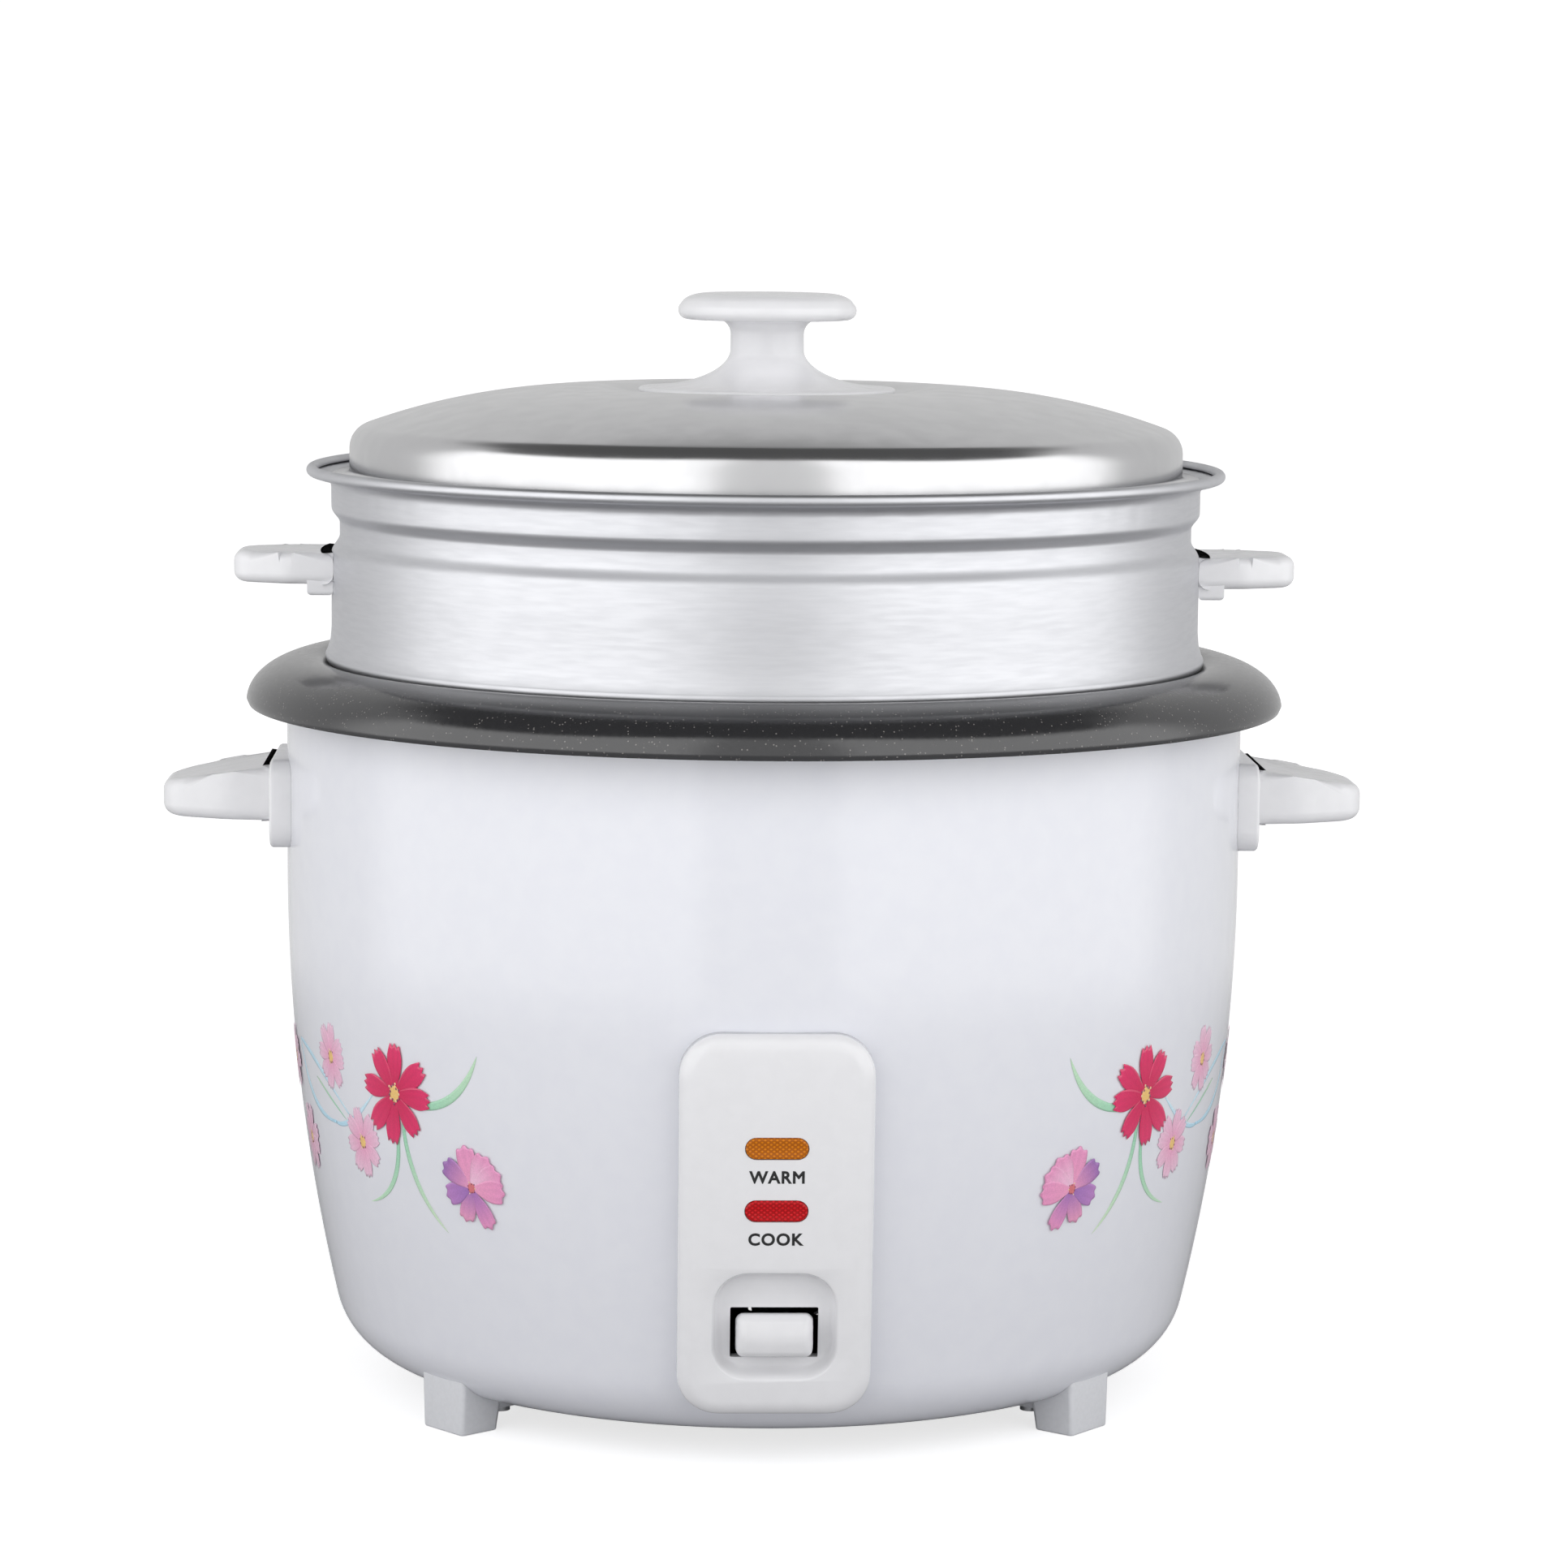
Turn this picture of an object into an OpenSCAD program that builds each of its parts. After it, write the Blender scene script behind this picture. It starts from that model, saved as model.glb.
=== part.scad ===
// Drum rice cooker with a steamer basket: frame origin at the centre of the
// footprint on the table, +Z up, the control panel faces -Y, handles on the X axis.

/* [Body drum] */
// Outer radius of the straight upper part of the drum
body_r = 133.2; // [115:0.1:165]
// Height of the drum's top ring above the table
body_h = 202; // [165:0.5:250]
// Sheet thickness of the drum
body_wall = 0.8; // [0.6:0.1:1.5]
// Length of the straight part below the top ring
body_straight = 57; // [50:1:65]
// Radius of the flank that draws in towards the base
flank_r = 540; // [500:10:900]
// Radius of the rounded base corner
base_corner = 21; // [14:0.5:26]
// Radius of the turned-in top corner
top_corner = 5; // [3:0.5:7]
// Height of the drum's underside above the table
base_z = 8; // [6:0.5:12]
// Width of the turned-in ring under the drum
base_ring = 16; // [14:0.5:20]
// Width of the turned-in ring on top of the drum
top_ring = 7.2; // [6:0.1:9]

/* [Liner and base] */
// Air gap between the drum and the inner liner
air_gap = 7.8; // [6:0.1:12]
// Sheet thickness of the inner liner
liner_wall = 0.6; // [0.5:0.1:1]
// Corner radius of the liner floor
liner_corner = 12; // [8:0.5:16]
// Height of the liner floor above the drum's underside
works_h = 44; // [43:0.5:50]
// Sheet thickness of the base plate
base_wall = 0.8; // [0.6:0.1:1.2]
// Number of cooling slots in the base plate
slot_count = 12; // [6:1:16]

/* [Pot] */
// Wall thickness of the pot
pot_wall = 1.5; // [1:0.1:2]
// Gap between the liner and the pot
pot_gap = 3; // [2:0.1:5]
// How much the pot wall draws in towards its floor
pot_taper = 7.5; // [4:0.5:12]
// Corner radius of the pot floor
pot_corner = 25; // [15:0.5:32]
// Radius of the bend between the pot wall and the rim
rim_bend = 7; // [6:0.25:9]
// Reach of the rim past its crest
rim_reach = 17.9; // [15:0.1:20]
// Drop of the rim below its crest
rim_drop = 12.3; // [9:0.1:14]

/* [Steamer] */
// Height from the pot rim crest to the steamer rim bead
steamer_h = 51.7; // [46:0.1:70]
// Sheet thickness of the steamer
steamer_wall = 0.9; // [0.6:0.1:1.2]
// Radius of the steamer's rim bead
rim_bead = 1.5; // [1.2:0.1:1.8]
// Radius of the bead that rests on the pot
seat_bead = 2.1; // [1.8:0.1:2.4]
// Depth of the groove band below the steamer rim
groove_depth = 2.3; // [1:0.1:3]
// Depth of the spigot below the seat bead
spigot_h = 6; // [4:0.5:10]
// Radius of one steam hole
steam_hole_r = 3; // [2:0.25:4]
// Number of rings of steam holes
steam_rings = 4; // [2:1:4]

/* [Lid] */
// Rise of the lid's crest ring above the steamer rim bead
lid_rise = 23.3; // [18:0.1:32]
// Sheet thickness of the lid
lid_wall = 0.8; // [0.6:0.1:1.2]
// Radius of the dome arc
dome_r = 180; // [160:5:240]
// Radius of the crest ring around the dished centre
crest_r = 50; // [47:1:63]
// Depth of the dished centre
dish_depth = 4; // [2:0.25:5]
// Radius of the lid's upper corner
lid_corner = 7; // [6:0.5:9]
// Radius of the knob's top disc
knob_r = 24.8; // [20:0.1:30]
// Height of the knob above the dished centre
knob_h = 30; // [26:0.5:36]
// Radius of the knob's foot
knob_foot_r = 35.8; // [30:0.1:40]
// Radius of the knob's neck
knob_neck_r = 10.2; // [8:0.1:14]

/* [Control panel] */
// Width of the panel
panel_w = 50.4; // [48:0.2:62]
// Height of the panel
panel_h = 101.4; // [98:0.2:108]
// Height of the panel's lower edge above the drum's underside
panel_lift = 9.6; // [9:0.2:13]
// How far the panel stands proud of the drum
panel_proud = 5.8; // [5:0.1:8]
// Corner radius of the panel outline
panel_corner = 10; // [8:0.5:14]
// Width of the chamfer around the panel face
panel_chamfer = 3; // [1:0.25:4]
// Wall thickness of the panel
panel_wall = 2.2; // [1.6:0.1:2.6]
// Width of the pilot lenses
lens_w = 16.2; // [12:0.1:20]
// Height of the pilot lenses
lens_h = 5.6; // [4:0.1:7]
// Width of the finger pocket
pocket_w = 33; // [30:0.1:34]
// Height of the finger pocket
pocket_h = 30; // [28:0.1:31]
// Depth of the finger pocket
pocket_depth = 5; // [4:0.1:5.5]
// Width of the slot behind the key
window_w = 22.9; // [21:0.1:25]
// Height of the slot behind the key
window_h = 14; // [12:0.1:15]
// Width of the key
key_w = 20.2; // [16:0.1:20.6]
// Height of the key
key_h = 11.6; // [9:0.1:12]

/* [Handles and feet] */
// Width of a body handle's mounting plate
pad_w = 50; // [44:1:60]
// Height of a body handle's mounting plate
pad_h = 24.4; // [22:0.2:28]
// Reach of a body handle past the drum
grip_reach = 34.2; // [28:0.1:40]
// Width of a body handle's grip at its root
grip_w = 42; // [36:1:46]
// Reach of a steamer handle past the steamer wall
ear_reach = 26.9; // [22:0.1:32]
// Width of a steamer handle
ear_w = 36; // [30:1:42]
// Thickness of a steamer handle
ear_t = 8.8; // [7:0.1:10]
// Width of a foot along the rim
foot_w = 18; // [16:0.5:22]
// Length of a foot along the radius
foot_l = 13.4; // [11:0.1:15]
// Angle of the feet from the X axis
foot_angle = 40; // [36:1:50]

/* [Heating and switch] */
// Thickness of the heating plate
plate_t = 8; // [6:0.5:10]
// Radius of the heating element's ring
element_r = 60; // [56:0.5:64]
// Radius of the heating element's tube
element_tube = 3.8; // [3:0.1:4]
// Radius of the sensor cap
cap_r = 18; // [17:0.25:19.5]
// Radius of the magnet's push rod
rod_r = 2.5; // [2:0.1:3]
// Radius of the lever's pivot pin
pivot_r = 1.5; // [1.2:0.1:2]
// Distance from the key's slot to the lever's pivot
lever_front = 58; // [50:1:64]
// Angle that the lever turns through
lever_turn = 3; // [2:0.25:3.25]
// Width of the lever arm
lever_w = 10; // [8:0.5:12]
// Thickness of the lever arm
lever_t = 1.5; // [1:0.1:2]
// Radius of the screws of the drum and panel
screw_r = 1.5; // [1.2:0.1:1.8]

/* [Clearances] */
// Gap between pieces that rest on or pass each other
rest_gap = 0.3; // [0.2:0.05:0.4]
// Radial clearance of a pin or rod that turns or slides in its bore
run_fit = 0.05; // [0.02:0.01:0.08]
// Clearance of pieces that are fixed to each other
seat_fit = 0.03; // [0.02:0.01:0.05]
// Clearance of lenses and blocks in their openings
slip_fit = 0.15; // [0.1:0.05:0.2]

/* [Hidden] */
$fn = 96;
eps = 0.01;
far = 400;
white = "#f1f1ef";
steel = "#c9ccd0";
alloy = "#b9bbbe";

// Drum: where the flank, corner and base ring meet
straight_z = body_h - body_straight;
corner_z = base_z + base_corner;
base_flat_r = body_r - flank_r
    + sqrt(pow(flank_r - base_corner, 2) - pow(straight_z - corner_z, 2));
flank_turn = asin((straight_z - corner_z) / (flank_r - base_corner));
base_open_r = base_flat_r - base_ring;
top_open_r = body_r - top_ring;

// Liner, pot and heating plate, from the base upwards
liner_top = body_h - body_wall;
liner_z = base_z + works_h;
liner_r = body_r - body_wall - air_gap;
// A drum whose flank draws in further at the liner's corner narrows the liner there
liner_draw = body_r - flank_y(liner_z + liner_corner, 0);
liner_low_r = liner_r - max(0, liner_draw - 6.11);
liner_in = liner_r - liner_wall;
plate_stand = 13;
plate_bottom = liner_z + liner_wall + plate_stand;
plate_top = plate_bottom + plate_t;
pot_z = plate_top + rest_gap;
pot_r = liner_in - pot_gap;
pot_in = pot_r - pot_wall;
crest_z = body_h + rest_gap + pot_wall;
crest_x = pot_in + rim_bend;
pot_floor_r = pot_r - pot_taper - pot_corner;
plate_r = pot_floor_r - 2.5;
rib_half = element_tube + 4.2;
rib_z = plate_bottom - 6;
element_z = rib_z - 0.6;
element_gap = 20;
post_r = 5;
post_ring = element_r - rib_half - post_r - 1.5;
bush_r = 5;

// Sensor, magnet and push rod on the cooker's axis
cap_wall = 1;
ferrite_t = 2.7;
ferrite_r = 14;
ferrite_z = plate_top - cap_wall - ferrite_t;
skirt_z = plate_bottom - 3.6;
housing_t = 1.2;
housing_z = liner_z + liner_wall;
housing_r = 30;
lever_hole_r = 24;
sensor_travel = 1.5;
magnet_t = 4;
magnet_r = 11;
carrier_r = 15;
carrier_t = 1;

// Lever, its pivot and the micro switch
panel_z = base_z + panel_lift;
pocket_z = panel_z + 24.2;
window_z = panel_z + 20.6;
lever_z = window_z + 0.9;
pocket_floor_y = flank_y(pocket_z, panel_proud - pocket_depth);
pivot_y = -pocket_floor_y + lever_front;
lever_rear = -pivot_y;
rod_travel = lever_rear * sin(lever_turn);
rod_bottom = lever_z + lever_t / 2 + rest_gap;
magnet_top = ferrite_z - rest_gap - rod_travel;
carrier_z = magnet_top - magnet_t - carrier_t;
guide_z = rod_bottom + rod_travel + 1.2;
guide_r = 5;
barrel_r = 3.2;
barrel_w = 15;
switch_y = pivot_y + 25;
switch_travel = 25 * sin(lever_turn);
switch_h = 6.5;
switch_z = liner_z - 1 - switch_h;
button_r = 1.1;

// Steamer and lid, from the pot rim upwards
wall_r = pot_in + 1.3;
seat_x = pot_in + 0.9;
seat_z = crest_z - rim_bend
    + sqrt(pow(rim_bend + seat_bead + rest_gap + 0.07, 2) - pow(crest_x - seat_x, 2));
spigot_r = pot_in - 1.5;
bead_z = crest_z + steamer_h;
bead_x = wall_r + 5.4;
spigot_z = seat_z - seat_bead - spigot_h;
ear_z = crest_z + 20.5;
lid_r = wall_r - 5;
lid_flange_z = bead_z - 1.1;
lid_crest_z = bead_z + lid_rise;
// A wider lid has a flatter arc, so that its shoulder stays at the same height
dome_arc = dome_r * pow((lid_r - crest_r) / 65.8, 2);
dish_z = lid_crest_z - dish_depth;
dish_flat_r = crest_r - 22;
knob_top = dish_z + knob_h;
boss_r = 12;

// Screw heads, nuts and inlet
head_r = 2.8;
head_h = 2;
foot_r = base_flat_r + 15.3;
foot_screw_r = base_flat_r - 4.5;
tab_back = foot_screw_r - 4.4;
inlet_z = base_z + 26;
inlet_w = 30;
inlet_h = 22;
inlet_depth = 20;
lamp_z = [panel_z + 55.8, panel_z + 72.5];
holder_z = (lamp_z[0] + lamp_z[1]) / 2;
holder_half = 13;
holder_tilt = flank_tilt(holder_z, panel_proud);
opening_top = max(panel_z + 78,
    holder_z + holder_half * cos(holder_tilt) + 7.2 * sin(holder_tilt) + 0.05);

// ---------------------------------------------------------------- functions
function unit(v) = v / norm(v);
function side(p, i) =
    let (d = unit(p[min(i + 1, len(p) - 1)] - p[max(i - 1, 0)])) [-d[1], d[0]];
function shift(p, t) = [for (i = [0 : len(p) - 1]) p[i] + t * side(p, i)];
function turned(p) = [for (i = [len(p) - 1 : -1 : 0]) p[i]];
// Closed outline of a sheet of thickness t on the left of the path p
function sheet(p, t) = concat(p, turned(shift(p, t)));
function arc(c, r, a0, a1, n = 12) =
    [for (i = [0 : n]) let (a = a0 + (a1 - a0) * i / n) c + r * [cos(a), sin(a)]];
// Quarter of an ellipse or any stretch of it
function oval(c, rx, rz, a0, a1, n = 12) =
    [for (i = [0 : n]) let (a = a0 + (a1 - a0) * i / n) c + [rx * cos(a), rz * sin(a)]];
// Y distance of the flank, offset by off, from the axis at height z
function flank_y(z, off) =
    body_r - flank_r + sqrt(pow(flank_r + off, 2) - pow(max(straight_z - z, 0), 2));
function flank_tilt(z, off) = asin(max(straight_z - z, 0) / (flank_r + off));
// Drum outline from the base ring to the top ring
function drum() = concat(
    [[base_open_r, base_z]],
    arc([base_flat_r, corner_z], base_corner, -90, -flank_turn, 10),
    arc([body_r - flank_r, straight_z], flank_r, -flank_turn * 0.95, 0, 12),
    arc([body_r - top_corner, body_h - top_corner], top_corner, 0, 90, 8),
    [[top_open_r, body_h]]);
// Point of a helix at the angle a
function coil_point(r, pitch, a) = [r * cos(a), r * sin(a), pitch * a / 360];

// ---------------------------------------------------------------- helpers
module revolve(outline) {
    rotate_extrude() polygon(outline);
}

// Rod along +Z from z0 to z1
module rod(r, z0, z1) {
    translate([0, 0, z0]) cylinder(r = r, h = z1 - z0);
}

// Rod along +Y from y0 to y1
module rod_y(r, y0, y1) {
    translate([0, y0, 0]) rotate([-90, 0, 0]) cylinder(r = r, h = y1 - y0);
}

// Rod along +X, centred
module rod_x(r, w) {
    rotate([0, 90, 0]) cylinder(r = r, h = w, center = true);
}

// Box with its corners in X, Y and Z
module box(x, y, z) {
    translate([x[0], y[0], z[0]]) cube([x[1] - x[0], y[1] - y[0], z[1] - z[0]]);
}

// Children mirrored to the -X side when s is negative
module mirror_x(s) {
    mirror([s < 0 ? 1 : 0, 0, 0]) children();
}

// Frame on the front of the drum at height z: -Y points straight out
module on_flank(z, off) {
    translate([0, -flank_y(z, off), z]) rotate([flank_tilt(z, off), 0, 0]) children();
}

// Frame on the back of the drum at height z: -Y points straight out
module on_back(z, off) {
    rotate([0, 0, 180]) on_flank(z, off) children();
}

// Slab along +Y with round ends, w wide and h high
module stadium(w, h, y0, y1) {
    union() {
        box([-w / 2 + h / 2, w / 2 - h / 2], [y0, y1], [-h / 2, h / 2]);
        for (s = [-1, 1]) translate([s * (w - h) / 2, 0, 0]) rod_y(h / 2, y0, y1);
    }
}

// Plate along +Y with round corners, w wide and h high
module plate_y(w, h, r, y0, y1) {
    translate([0, y1, 0]) rotate([90, 0, 0]) linear_extrude(y1 - y0) round_rect(w, h, r);
}

module round_rect(w, h, r) {
    union() {
        square([w - 2 * r, h], center = true);
        square([w, h - 2 * r], center = true);
        for (x = [-1, 1]) for (y = [-1, 1]) {
            translate([x * (w / 2 - r), y * (h / 2 - r)]) circle(r = r);
        }
    }
}

// Everything inside the drum's outer face, grown by c
module drum_solid(c) {
    p = shift(drum(), -c);
    revolve(concat([[0, p[0][1]]], p, [[0, p[len(p) - 1][1]]]));
}

// Opening in the drum behind the panel
module panel_opening(c) {
    w = pocket_w + 4 - 2 * c;
    box([-w / 2, w / 2], [-far, 0], [panel_z + 8 + c, opening_top - c]);
}

// Opening in the back of the drum for the inlet
module inlet_opening(c) {
    on_back(inlet_z, 0) plate_y(inlet_w + 2 * c, inlet_h + 2 * c, 3, -20, 20);
}

// Children at the four foot angles
module at_feet() {
    for (x = [-1, 1]) for (y = [-1, 1]) {
        a = x > 0 ? foot_angle : 180 - foot_angle;
        rotate([0, 0, y * a]) children();
    }
}

// Children at three places around the axis
module three(r, start = 90) {
    for (i = [0 : 2]) rotate([0, 0, start + 120 * i]) translate([r, 0, 0]) children();
}

// Round wire wound as a compression spring from z0 to z1
module spring(r, wire, turns, z0, z1) {
    steps = 20 * turns;
    sides = 8;
    pitch = (z1 - z0 - 2 * wire) / turns;
    rings = [for (i = [0 : steps]) let (a = 360 * turns * i / steps)
        for (j = [0 : sides - 1]) let (b = 360 * j / sides)
        coil_point(r + wire * cos(b), pitch, a) + [0, 0, z0 + wire + wire * sin(b)]];
    skin = [for (i = [0 : steps - 1]) for (j = [0 : sides - 1])
        let (k = (j + 1) % sides)
        [i * sides + j, i * sides + k, (i + 1) * sides + k, (i + 1) * sides + j]];
    cap0 = [for (j = [sides - 1 : -1 : 0]) j];
    cap1 = [for (j = [0 : sides - 1]) steps * sides + j];
    polyhedron(rings, concat([cap0], skin, [cap1]));
}

// Pan-head screw along +Z: head below z0, shank up to z1
module screw(r, z0, z1) {
    union() {
        rod(r, z0, z1);
        difference() {
            rod(head_r, z0 - head_h, z0);
            box([-2, 2], [-0.4, 0.4], [z0 - head_h - eps, z0 - head_h + 0.8]);
            box([-0.4, 0.4], [-2, 2], [z0 - head_h - eps, z0 - head_h + 0.8]);
        }
    }
}

// ---------------------------------------------------------------- drum and base
module body_shell() {
    color(white) difference() {
        revolve(sheet(drum(), body_wall));
        panel_opening(0);
        inlet_opening(0);
        at_feet() translate([foot_screw_r, 0, 0]) rod(screw_r + seat_fit, 0, corner_z);
        three(base_open_r + 4) rod(screw_r + seat_fit, 0, corner_z);
        at_panel_screws() rod_y(screw_r + seat_fit, -far, 0);
        for (s = [0, 180]) rotate([0, 0, s]) at_pad_screws() rod_x(screw_r + seat_fit, 30);
        at_inlet_screws() rod_y(screw_r + seat_fit, -15, 15);
    }
}

module inner_liner() {
    bend = 2;
    path = concat(
        [[lever_hole_r, liner_z]],
        arc([liner_low_r - liner_corner, liner_z + liner_corner], liner_corner, -90, 0, 8),
        arc([liner_r + bend, liner_top - liner_wall - bend], bend, 180, 90, 6),
        [[body_r - top_corner - 0.5, liner_top - liner_wall]]);
    color(steel) difference() {
        revolve(sheet(path, liner_wall));
        three(post_ring) rod(screw_r + seat_fit, liner_z - 1, liner_z + 2);
        at_element_ends() rod(bush_r + seat_fit, liner_z - 1, liner_z + 2);
    }
}

module base_plate() {
    r = tab_back - rest_gap;
    color(steel) difference() {
        rod(r, base_z - base_wall, base_z);
        three(base_open_r + 4) rod(screw_r + seat_fit, 0, base_z + 1);
        for (i = [0 : slot_count - 1]) rotate([0, 0, 360 * i / slot_count]) {
            box([r * 0.42, r * 0.72], [-2, 2], [0, base_z + 1]);
            for (e = [0.42, 0.72]) translate([r * e, 0, 0]) rod(2, 0, base_z + 1);
        }
    }
}

module base_screws() {
    color(steel) three(base_open_r + 4) screw(screw_r, base_z - base_wall, base_z + 4);
}

// One foot at the angle a: a drafted block with a screw tab behind it
module foot(a) {
    draft = 1;
    edge = 2;
    tab_z = base_z - 3;
    color(white) rotate([0, 0, a]) difference() {
        union() {
            hull() {
                for (s = [-1, 1]) {
                    for (e = [foot_r - edge, foot_r - foot_l + edge]) {
                        translate([e, s * (foot_w / 2 - edge), 0])
                            cylinder(r1 = edge - 1, r2 = edge, h = 1, $fn = 32);
                    }
                    translate([foot_r - edge + draft, s * (foot_w / 2 - edge), base_corner])
                        cylinder(r = edge, h = 1, $fn = 32);
                    translate([foot_r - foot_l + edge, s * (foot_w / 2 - edge), base_corner])
                        cylinder(r = edge, h = 1, $fn = 32);
                }
            }
            box([tab_back, foot_r - foot_l + 1], [-6, 6], [tab_z, base_z - seat_fit]);
        }
        rotate([0, 0, -a]) drum_solid(seat_fit);
        translate([foot_screw_r, 0, 0]) rod(screw_r + seat_fit, 0, base_z);
    }
}

module foot_screws() {
    color(steel) at_feet() translate([foot_screw_r, 0, 0])
        screw(screw_r, base_z - 3, base_z + 5);
}

module foot_nuts() {
    z = base_z + body_wall;
    color(steel) at_feet() translate([foot_screw_r, 0, 0]) difference() {
        translate([0, 0, z]) cylinder(r = 3.1, h = 2.4, $fn = 6);
        rod(screw_r + seat_fit, z - 1, z + 3);
    }
}

// ---------------------------------------------------------------- body handles
// Children at the handle's two screws, with +X along the screw
module at_pad_screws() {
    for (y = [-15, 15]) translate([body_r, y, pad_z()]) children();
}

function pad_z() = body_h - 38.2;

// Handle on the +X side
module body_handle() {
    face = body_r + 3.8;
    tip = body_r + grip_reach;
    mid_z = pad_z() + 1.4;
    color(white) difference() {
        union() {
            rotate([0, 0, 90]) translate([0, 0, pad_z()])
                plate_y(pad_w, pad_h, 6, -face, -body_r + 8);
            hull() {
                for (s = [-1, 1]) {
                    for (z = [mid_z - 3.8, mid_z + 6.8]) {
                        translate([face, s * (grip_w / 2 - 2.5), z]) sphere(r = 2.5, $fn = 24);
                    }
                    for (z = [mid_z - 2.6, mid_z + 4]) {
                        translate([face + 13, s * (grip_w / 2 - 4.4), z]) sphere(r = 3, $fn = 24);
                    }
                    translate([tip - 7.5, s * 10, mid_z - 1.5]) sphere(r = 4.2, $fn = 24);
                }
                translate([tip - 4.2, 0, mid_z - 1.5]) sphere(r = 4.2, $fn = 24);
            }
        }
        drum_solid(seat_fit);
        at_pad_screws() rod_x(screw_r + seat_fit, 22);
    }
}

module body_handle_screws() {
    seat = body_r - body_wall - 1.4;
    color(steel) for (s = [0, 180]) rotate([0, 0, s]) for (y = [-15, 15]) {
        translate([seat, y, pad_z()]) rotate([0, 90, 0]) screw(screw_r, 0, 10);
    }
}

// ---------------------------------------------------------------- control panel
// Prism along X between two offsets of the flank, y0 being the back
module flank_band(w, off, y0, z0, z1) {
    n = 16;
    face = [for (i = [0 : n]) let (z = z0 + (z1 - z0) * i / n) [-flank_y(z, off), z]];
    rotate([90, 0, 90]) linear_extrude(w, center = true)
        polygon(concat([[y0, z0]], face, [[y0, z1]]));
}

// Panel body, shrunk by m on every side and by d at the face
module panel_block(m, d) {
    w = panel_w - 2 * m;
    h = panel_h - 2 * m;
    mid = panel_z + panel_h / 2;
    c = panel_chamfer;
    hull() {
        for (k = [0, 1]) intersection() {
            flank_band(far, panel_proud - d - (1 - k) * c, -body_r + 30, 0, mid + panel_h);
            translate([0, 0, mid])
                plate_y(w - 2 * k * c, h - 2 * k * c, panel_corner - m - k * c / 2, -far, 0);
        }
    }
}

// Finger pocket: grown by g on the outside, d deep
module pocket(g, d) {
    on_flank(pocket_z, panel_proud) hull() {
        plate_y(pocket_w + 2 * g, pocket_h + 2 * g, 10 + g, -2, -1);
        plate_y(pocket_w + 2 * g - 1.4, pocket_h + 2 * g - 1.2, 10 + g, d - 0.5, d);
    }
}

function panel_screw_spots() = [[0, panel_z + panel_h - 10.6], [-21.4, pocket_z], [21.4, pocket_z]];

module at_panel_screws() {
    for (s = panel_screw_spots()) translate([s[0], 0, s[1]]) children();
}

// Y of the drum's outer face at the place s = [x, z]
function drum_y(s) = -sqrt(pow(flank_y(s[1], 0), 2) - pow(s[0], 2));

module control_panel() {
    color(white) difference() {
        union() {
            difference() {
                panel_block(0, 0);
                panel_block(panel_wall, panel_wall);
            }
            intersection() {
                panel_block(0.2, 0.2);
                union() {
                    pocket(1.5, pocket_depth + 1.5);
                    for (s = panel_screw_spots()) translate([s[0], 0, s[1]])
                        rod_y(2.6, -far / 2, drum_y(s));
                }
            }
        }
        difference() {
            drum_solid(seat_fit);
            panel_opening(0.2);
        }
        pocket(0, pocket_depth);
        on_flank(window_z, panel_proud) plate_y(window_w, window_h, 0.5, 0, far / 10);
        for (z = lamp_z) on_flank(z, panel_proud)
            stadium(lens_w + 2 * slip_fit, lens_h + 2 * slip_fit, -2, 6);
        for (s = panel_screw_spots()) translate([s[0], 0, s[1]])
            rod_y(screw_r + seat_fit, drum_y(s) - 5, 0);
    }
}

module panel_screws() {
    color(steel) for (s = panel_screw_spots()) {
        seat = drum_y(s) + body_wall + abs(s[0]) * 0.04 + 0.5;
        translate([s[0], seat, s[1]]) rotate([90, 0, 0]) screw(screw_r, 0, 5);
    }
}

// Pilot lens with a flange behind the panel wall
module lens(z) {
    back = panel_wall + 0.05;
    on_flank(z, panel_proud) union() {
        stadium(lens_w, lens_h, -0.5, back + eps);
        stadium(lens_w + 2.2, lens_h + 2.2, back, back + 0.9);
    }
}

// Neon lamp lying behind a lens
module lamp(z) {
    on_flank(z, panel_proud) translate([0, panel_wall + 3.2, 0]) union() {
        rod_x(2, 12);
        for (s = [-1, 1]) translate([s * 6, 0, 0]) rod_x(0.4, 6);
    }
}

module warm_lens() { color("#e08a10") lens(lamp_z[1]); }
module cook_lens() { color("#d01818") lens(lamp_z[0]); }
module warm_lamp() { color("#ffb060") lamp(lamp_z[1]); }
module cook_lamp() { color("#ff7050") lamp(lamp_z[0]); }

module lamp_holder() {
    half = holder_half;
    color(white) on_flank(holder_z, panel_proud) union() {
        box([-12.4, 12.4], [panel_wall + 5.5, panel_wall + 6.5], [-half, half]);
        for (s = [-1, 1]) mirror_x(s)
            box([11.2, 12.4], [panel_wall + 0.2, panel_wall + 6], [-half, half]);
    }
}

// ---------------------------------------------------------------- heating
module heating_plate() {
    color(alloy) difference() {
        union() {
            revolve(concat([[0, plate_bottom], [plate_r, plate_bottom]],
                arc([plate_r - 2, plate_top - 2], 2, 0, 90, 5), [[0, plate_top]]));
            difference() {
                rod(element_r + rib_half, rib_z, plate_bottom + eps);
                rod(element_r - rib_half, rib_z - 1, plate_bottom + 1);
            }
        }
        rod(cap_r + 2, rib_z - 1, plate_top + 1);
        rotate_extrude() translate([element_r, element_z]) circle(r = element_tube + seat_fit);
        at_element_ends() rod(element_tube + 0.3, 0, element_z + 2);
        three(post_ring) rod(screw_r + seat_fit, plate_bottom - 1, plate_bottom + 5);
    }
}

// Children at the element's two ends
module at_element_ends() {
    for (s = [-1, 1]) rotate([0, 0, 90 + s * element_gap])
        translate([element_r, 0, 0]) children();
}

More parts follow.
